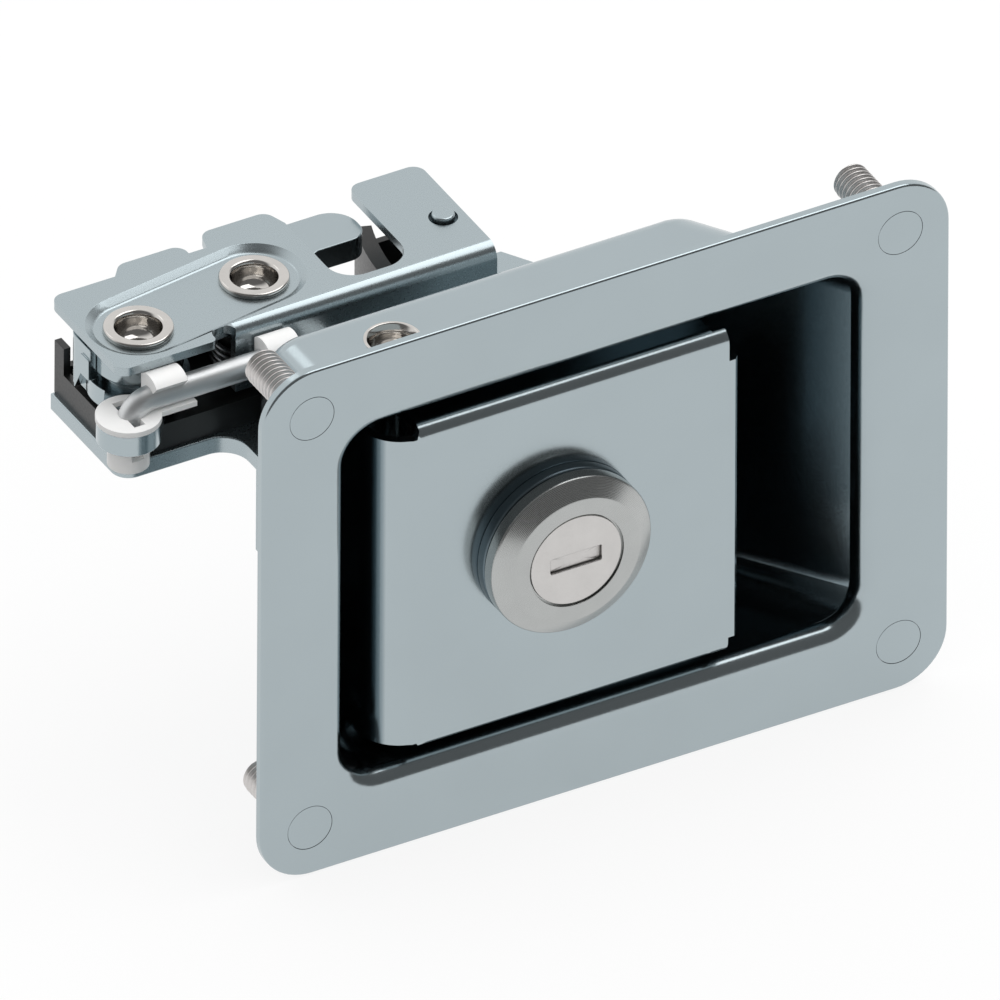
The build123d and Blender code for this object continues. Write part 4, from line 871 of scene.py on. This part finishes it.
class LATCH_OT_hinge(bpy.types.Operator):
    """Makes the cupped hinge pins, their washers and the return spring"""

    bl_idname = "latch.hinge"
    bl_label = "Hinge"

    def execute(self, context):
        sizes = context.scene.latch_sizes
        colours = context.scene.latch_colours
        nickel = nickel_plated_steel(colours.nickel)
        # The cuts of the cup's bottom and neck, of its mouth, and of the rim, the flare and the foot.
        cuts = [0, sizes.cup_round, 0.5 * MM, 0.2 * MM, 0.2 * MM, 0.4 * MM, 0.2 * MM, 0]
        for name, way in (("hinge_pin_top", 1), ("hinge_pin_bottom", -1)):
            centre, low, high = middle(name)
            length = high[2] - low[2]
            rim = (high[0] - low[0]) / 2
            bore = rim - sizes.cup_wall
            neck = sizes.pin_radius - sizes.cup_wall
            flare = length - 2 * (rim - sizes.pin_radius)
            line = soft_line(
                [
                    (0, length - sizes.cup_depth),
                    (neck, length - sizes.cup_depth),
                    (neck, flare),
                    (bore, length),
                    (rim, length),
                    (sizes.pin_radius, flare),
                    (sizes.pin_radius, 0),
                    (0, 0),
                ],
                cuts,
            )
            foot = (centre[0], centre[1], low[2] if way > 0 else high[2])
            mesh = grid_mesh(name, [turned(line, foot, (0, 0, way))])
            new_object("turned_" + name, mesh, nickel, "frame", "nickel_steel", name)
        nylon = moulded_nylon(colours.nylon)
        for name in ("hinge_washer_top", "hinge_washer_bottom"):
            dressed_copy(name, "frame", "black_nylon", nylon, sizes.moulded_edge)
        wire = drawn_spring_wire(colours.spring)
        dressed_copy("return_spring", "frame", "spring_steel", wire, 0)
        return {"FINISHED"}


class LATCH_OT_lock(bpy.types.Operator):
    """Makes the lock: bezel with barrel, washer, plug with its shutter, nut and cam screw"""

    bl_idname = "latch.lock"
    bl_label = "Lock"

    def execute(self, context):
        sizes = context.scene.latch_sizes
        colours = context.scene.latch_colours
        centre, low, high = middle("lock_housing")
        rim = (high[0] - low[0]) / 2
        axis_point = (centre[0], 0, centre[2])
        casting = turned_zinc_casting(colours.bezel, axis_point)
        front, back = -low[1], -high[1]
        shoulder = front - sizes.bezel_slope - sizes.bezel_rim
        seat = shoulder - sizes.bezel_groove
        edge = sizes.turned_edge
        # The bore round the plug, its wider mouth and the mouth's depth, and the groove behind the rim.
        bore, mouth = sizes.plug_radius + 0.05 * MM, sizes.plug_radius + 0.3 * MM
        step = front - 0.6 * MM
        groove = rim - 0.8 * MM
        line = soft_line(
            [
                (bore, back),
                (bore, step),
                (mouth, step),
                (mouth, front),
                (rim - sizes.bezel_width, front),
                (rim, front - sizes.bezel_slope),
                (rim, shoulder),
                (groove, shoulder),
                (groove, seat),
                (sizes.barrel_radius, seat),
                (sizes.barrel_radius, back),
                (bore, back),
            ],
            [0, 0, 0, 0.1 * MM, edge, 1.6 * edge, edge, 0, 0, 0, edge, 0],
        )
        mesh = grid_mesh("lock_bezel", [turned(line, axis_point, (0, -1, 0), 128)])
        new_object("lock_bezel", mesh, casting, "paddle", "bezel_zinc", "lock_housing")

        low, high = middle("lock_washer")[1:]
        rim = (high[0] - low[0]) / 2
        front_edge, back_edge = 0.5 * MM, 0.3 * MM
        line = soft_line(
            [
                (sizes.barrel_radius, -high[1]),
                (sizes.barrel_radius, -low[1]),
                (rim, -low[1]),
                (rim, -high[1]),
                (sizes.barrel_radius, -high[1]),
            ],
            [0, 0, front_edge, back_edge, 0],
        )
        mesh = grid_mesh("pressed_lock_washer", [turned(line, axis_point, (0, -1, 0), 128)])
        dark = dark_passivated_steel(colours.washer)
        new_object("pressed_lock_washer", mesh, dark, "paddle", "dark_steel", "lock_washer")

        plug = ground_plug_steel(colours.plug)
        dressed_copy("lock_plug", "key_plug", "plug_steel", plug, sizes.fine_edge)
        shutter = self.shutter(sizes, *middle("lock_plug")[:2])
        mesh = grid_mesh("key_shutter", [shutter], sharp=50)
        new_object("key_shutter", mesh, plug, "key_plug", "plug_steel", "lock_plug")
        steel = rolled_thread_steel(colours.stud)
        dressed_copy("lock_nut", "paddle", "stud_steel", steel, sizes.turned_edge)
        dressed_copy("cam_screw", "key_plug", "stud_steel", steel, 0.1 * MM)
        return {"FINISHED"}

    @staticmethod
    def shutter(sizes, centre, low):
        """The dust shutter in the key slot, as a rounded oblong carried from its face to its back.

        With c = cos a and s = sin a the outline is (half length * sign(c) |c|^(1/6), half height *
        sign(s) |s|^(1/6)). It grows from 0 at the middle of the face, runs back, and closes to 0 again.
        """
        turns, power = 64, 1 / 6
        angle = np.arange(turns) * 2 * pi / turns
        c, s = np.cos(angle), np.sin(angle)
        wide = np.sign(c) * np.abs(c) ** power * sizes.shutter_length / 2
        high = np.sign(s) * np.abs(s) ** power * sizes.shutter_height / 2
        # The face's rim is 0.95 of the outline, and 0.1 mm further back it has its full size.
        share = np.array([0, 0.95, 1, 1, 0])[:, None]
        face, back = low[1] + sizes.shutter_set, low[1] + sizes.shutter_back
        depth = np.array([face, face, face + 0.1 * MM, back, back])[:, None]
        return np.stack((centre[0] + share * wide, depth + 0 * wide, centre[2] + share * high), axis=-1)


class LATCH_OT_rivets(bpy.types.Operator):
    """Makes the two cupped rivets and the shouldered spacer pin"""

    bl_idname = "latch.rivets"
    bl_label = "Rivets"

    def execute(self, context):
        sizes = context.scene.latch_sizes
        colours = context.scene.latch_colours
        nickel = nickel_plated_steel(colours.nickel)
        for name in ("rivet_left", "rivet_right"):
            centre, low, high = middle(name)
            top, bottom = high[2], low[2]
            rim = (high[0] - low[0]) / 2
            shank, bore, head = sizes.rivet_shank, sizes.rivet_bore, sizes.rivet_head
            # The cuts of the cup's neck and mouth, and of each head's two rims from the top down.
            neck, mouth, upper, lower = 0.4 * MM, 0.5 * MM, (0.5 * MM, 0.2 * MM), (0.1 * MM, 0.4 * MM)
            flare = 0.25 * MM
            line = soft_line(
                [
                    (0, top - sizes.cup_depth),
                    (bore, top - sizes.cup_depth),
                    (bore, top - head),
                    (bore + flare, top),
                    (rim, top),
                    (rim, top - head),
                    (shank, top - head),
                    (shank, bottom + head),
                    (rim, bottom + head),
                    (rim, bottom),
                    (0, bottom),
                ],
                [0, sizes.cup_round, neck, mouth, *upper, 0, 0, *lower, 0],
            )
            mesh = grid_mesh(name, [turned(line, (centre[0], centre[1], 0), (0, 0, 1))])
            new_object("cupped_" + name, mesh, nickel, "frame", "nickel_steel", name)
        steel = zinc_plated_plate(colours.zinc)
        dressed_copy("spacer_pin", "frame", "stud_steel", steel, sizes.fine_edge)
        return {"FINISHED"}


class LATCH_OT_tray(bpy.types.Operator):
    """Dresses the moulded tray and the springs that lie in it"""

    bl_idname = "latch.tray"
    bl_label = "Tray"

    def execute(self, context):
        colours = context.scene.latch_colours
        nylon = moulded_nylon(colours.nylon)
        dressed_copy("latch_housing", "frame", "black_nylon", nylon, context.scene.latch_sizes.moulded_edge)
        wire = drawn_spring_wire(colours.spring)
        dressed_copy("rotor_spring", "frame", "spring_steel", wire, 0)
        dressed_copy("pawl_spring", "frame", "spring_steel", wire, 0)
        return {"FINISHED"}


class LATCH_OT_rod(bpy.types.Operator):
    """Makes the bent pull rod and its two clips"""

    bl_idname = "latch.rod"
    bl_label = "Rod and clips"

    def execute(self, context):
        sizes = context.scene.latch_sizes
        colours = context.scene.latch_colours
        centre, low, high = middle("pull_rod")
        radius = (high[1] - low[1]) / 2
        left, right = low[0] + radius, high[0] - radius
        bend = sizes.rod_bend
        level = high[2] - radius
        # The path goes up at the left end, round a quarter circle, along, and down the same way.
        turn = np.linspace(0, pi / 2, 17)
        rise = np.linspace(low[2], level - bend, 12)[:-1]
        along = np.linspace(left + bend, right - bend, 24)[1:-1]
        up_x, down_x = left + bend - bend * np.cos(turn), right - bend + bend * np.sin(turn)
        up_z, down_z = level - bend + bend * np.sin(turn), level - bend + bend * np.cos(turn)
        path_x = np.concatenate((0 * rise + left, up_x, along, down_x, 0 * rise + right))
        path_z = np.concatenate((rise, up_z, 0 * along + level, down_z, rise[::-1]))
        path = np.stack((path_x, 0 * path_x + centre[1], path_z), axis=-1)
        # Each end closes to its middle, with a chamfer round it.
        chamfer = 0.3 * MM
        closing = radius - chamfer
        reach = np.concatenate(([0, closing], np.full(len(path), radius), [closing, 0]))
        path = np.concatenate((path[:1], path[:1], path, path[-1:], path[-1:]))
        path[2, 2] += chamfer
        path[-3, 2] += chamfer
        tube = self.tube(path, reach)
        rod = plated_wire_rod(colours.rod)
        new_object("bent_pull_rod", grid_mesh("bent_pull_rod", [tube]), rod, "rod", "rod_steel", "pull_rod")
        acetal = moulded_acetal(colours.acetal)

        def open_clamp(work):
            """Draws the clamp's front lip up round the rod, to 50 degrees over its middle."""
            lip = radians(50)
            clear, below, clamp_radius = 0.5 * MM, 0.2 * MM, 4.6 * MM
            for point in work.verts:
                out, over = centre[1] - point.co.y, point.co.z - level
                away = np.hypot(out, over)
                if out > clear and -below < over < np.tan(lip) * out and away < clamp_radius:
                    point.co.y = centre[1] - away * np.cos(lip)
                    point.co.z = level + away * np.sin(lip)

        for name in ("rod_clip_left", "rod_clip_right"):
            dressed_copy(name, "rod", "white_acetal", acetal, sizes.moulded_edge, reshape=open_clamp)
        return {"FINISHED"}

    @staticmethod
    def tube(path, reach):
        """The rod's skin: a circle of the given reach carried along the path, square to it."""
        inner = carried(path[2:-2], reach[2:-2], (0, 1, 0), 40)
        start = path[0] + (inner[0] - path[2]) * (reach[:2] / reach[2])[:, None, None]
        end = path[-1] + (inner[-1] - path[-3]) * (reach[-2:] / reach[-3])[:, None, None]
        return np.concatenate((start, inner, end))


class LATCH_PT_pieces(bpy.types.Panel):
    """Lists the pieces, their sizes and their colours"""

    bl_idname = "LATCH_PT_pieces"
    bl_label = "Slam latch"
    bl_space_type = "VIEW_3D"
    bl_region_type = "UI"
    bl_category = "Slam latch"

    def draw(self, context):
        for operator in OPERATORS:
            self.layout.operator(operator.bl_idname)
        for group in (context.scene.latch_sizes, context.scene.latch_colours):
            box = self.layout.box()
            for name in group.__annotations__:
                box.prop(group, name)


OPERATORS = (
    LATCH_OT_stage,
    LATCH_OT_sheet,
    LATCH_OT_plates,
    LATCH_OT_catch,
    LATCH_OT_studs,
    LATCH_OT_hinge,
    LATCH_OT_lock,
    LATCH_OT_tray,
    LATCH_OT_rivets,
    LATCH_OT_rod,
)
CLASSES = (LatchSizes, LatchColours, *OPERATORS, LATCH_PT_pieces)


def register():
    """Registers the classes and puts the sizes and colours on the scene."""
    for entry in CLASSES:
        bpy.utils.register_class(entry)
    bpy.types.Scene.latch_sizes = bpy.props.PointerProperty(type=LatchSizes)
    bpy.types.Scene.latch_colours = bpy.props.PointerProperty(type=LatchColours)


def unregister():
    """Takes the classes away again."""
    del bpy.types.Scene.latch_colours
    del bpy.types.Scene.latch_sizes
    for entry in reversed(CLASSES):
        bpy.utils.unregister_class(entry)


def main():
    """Makes every piece."""
    register()
    bpy.ops.latch.stage()
    bpy.ops.latch.sheet()
    bpy.ops.latch.plates()
    bpy.ops.latch.catch()
    bpy.ops.latch.studs()
    bpy.ops.latch.hinge()
    bpy.ops.latch.lock()
    bpy.ops.latch.tray()
    bpy.ops.latch.rivets()
    bpy.ops.latch.rod()


if __name__ == "__main__":
    main()
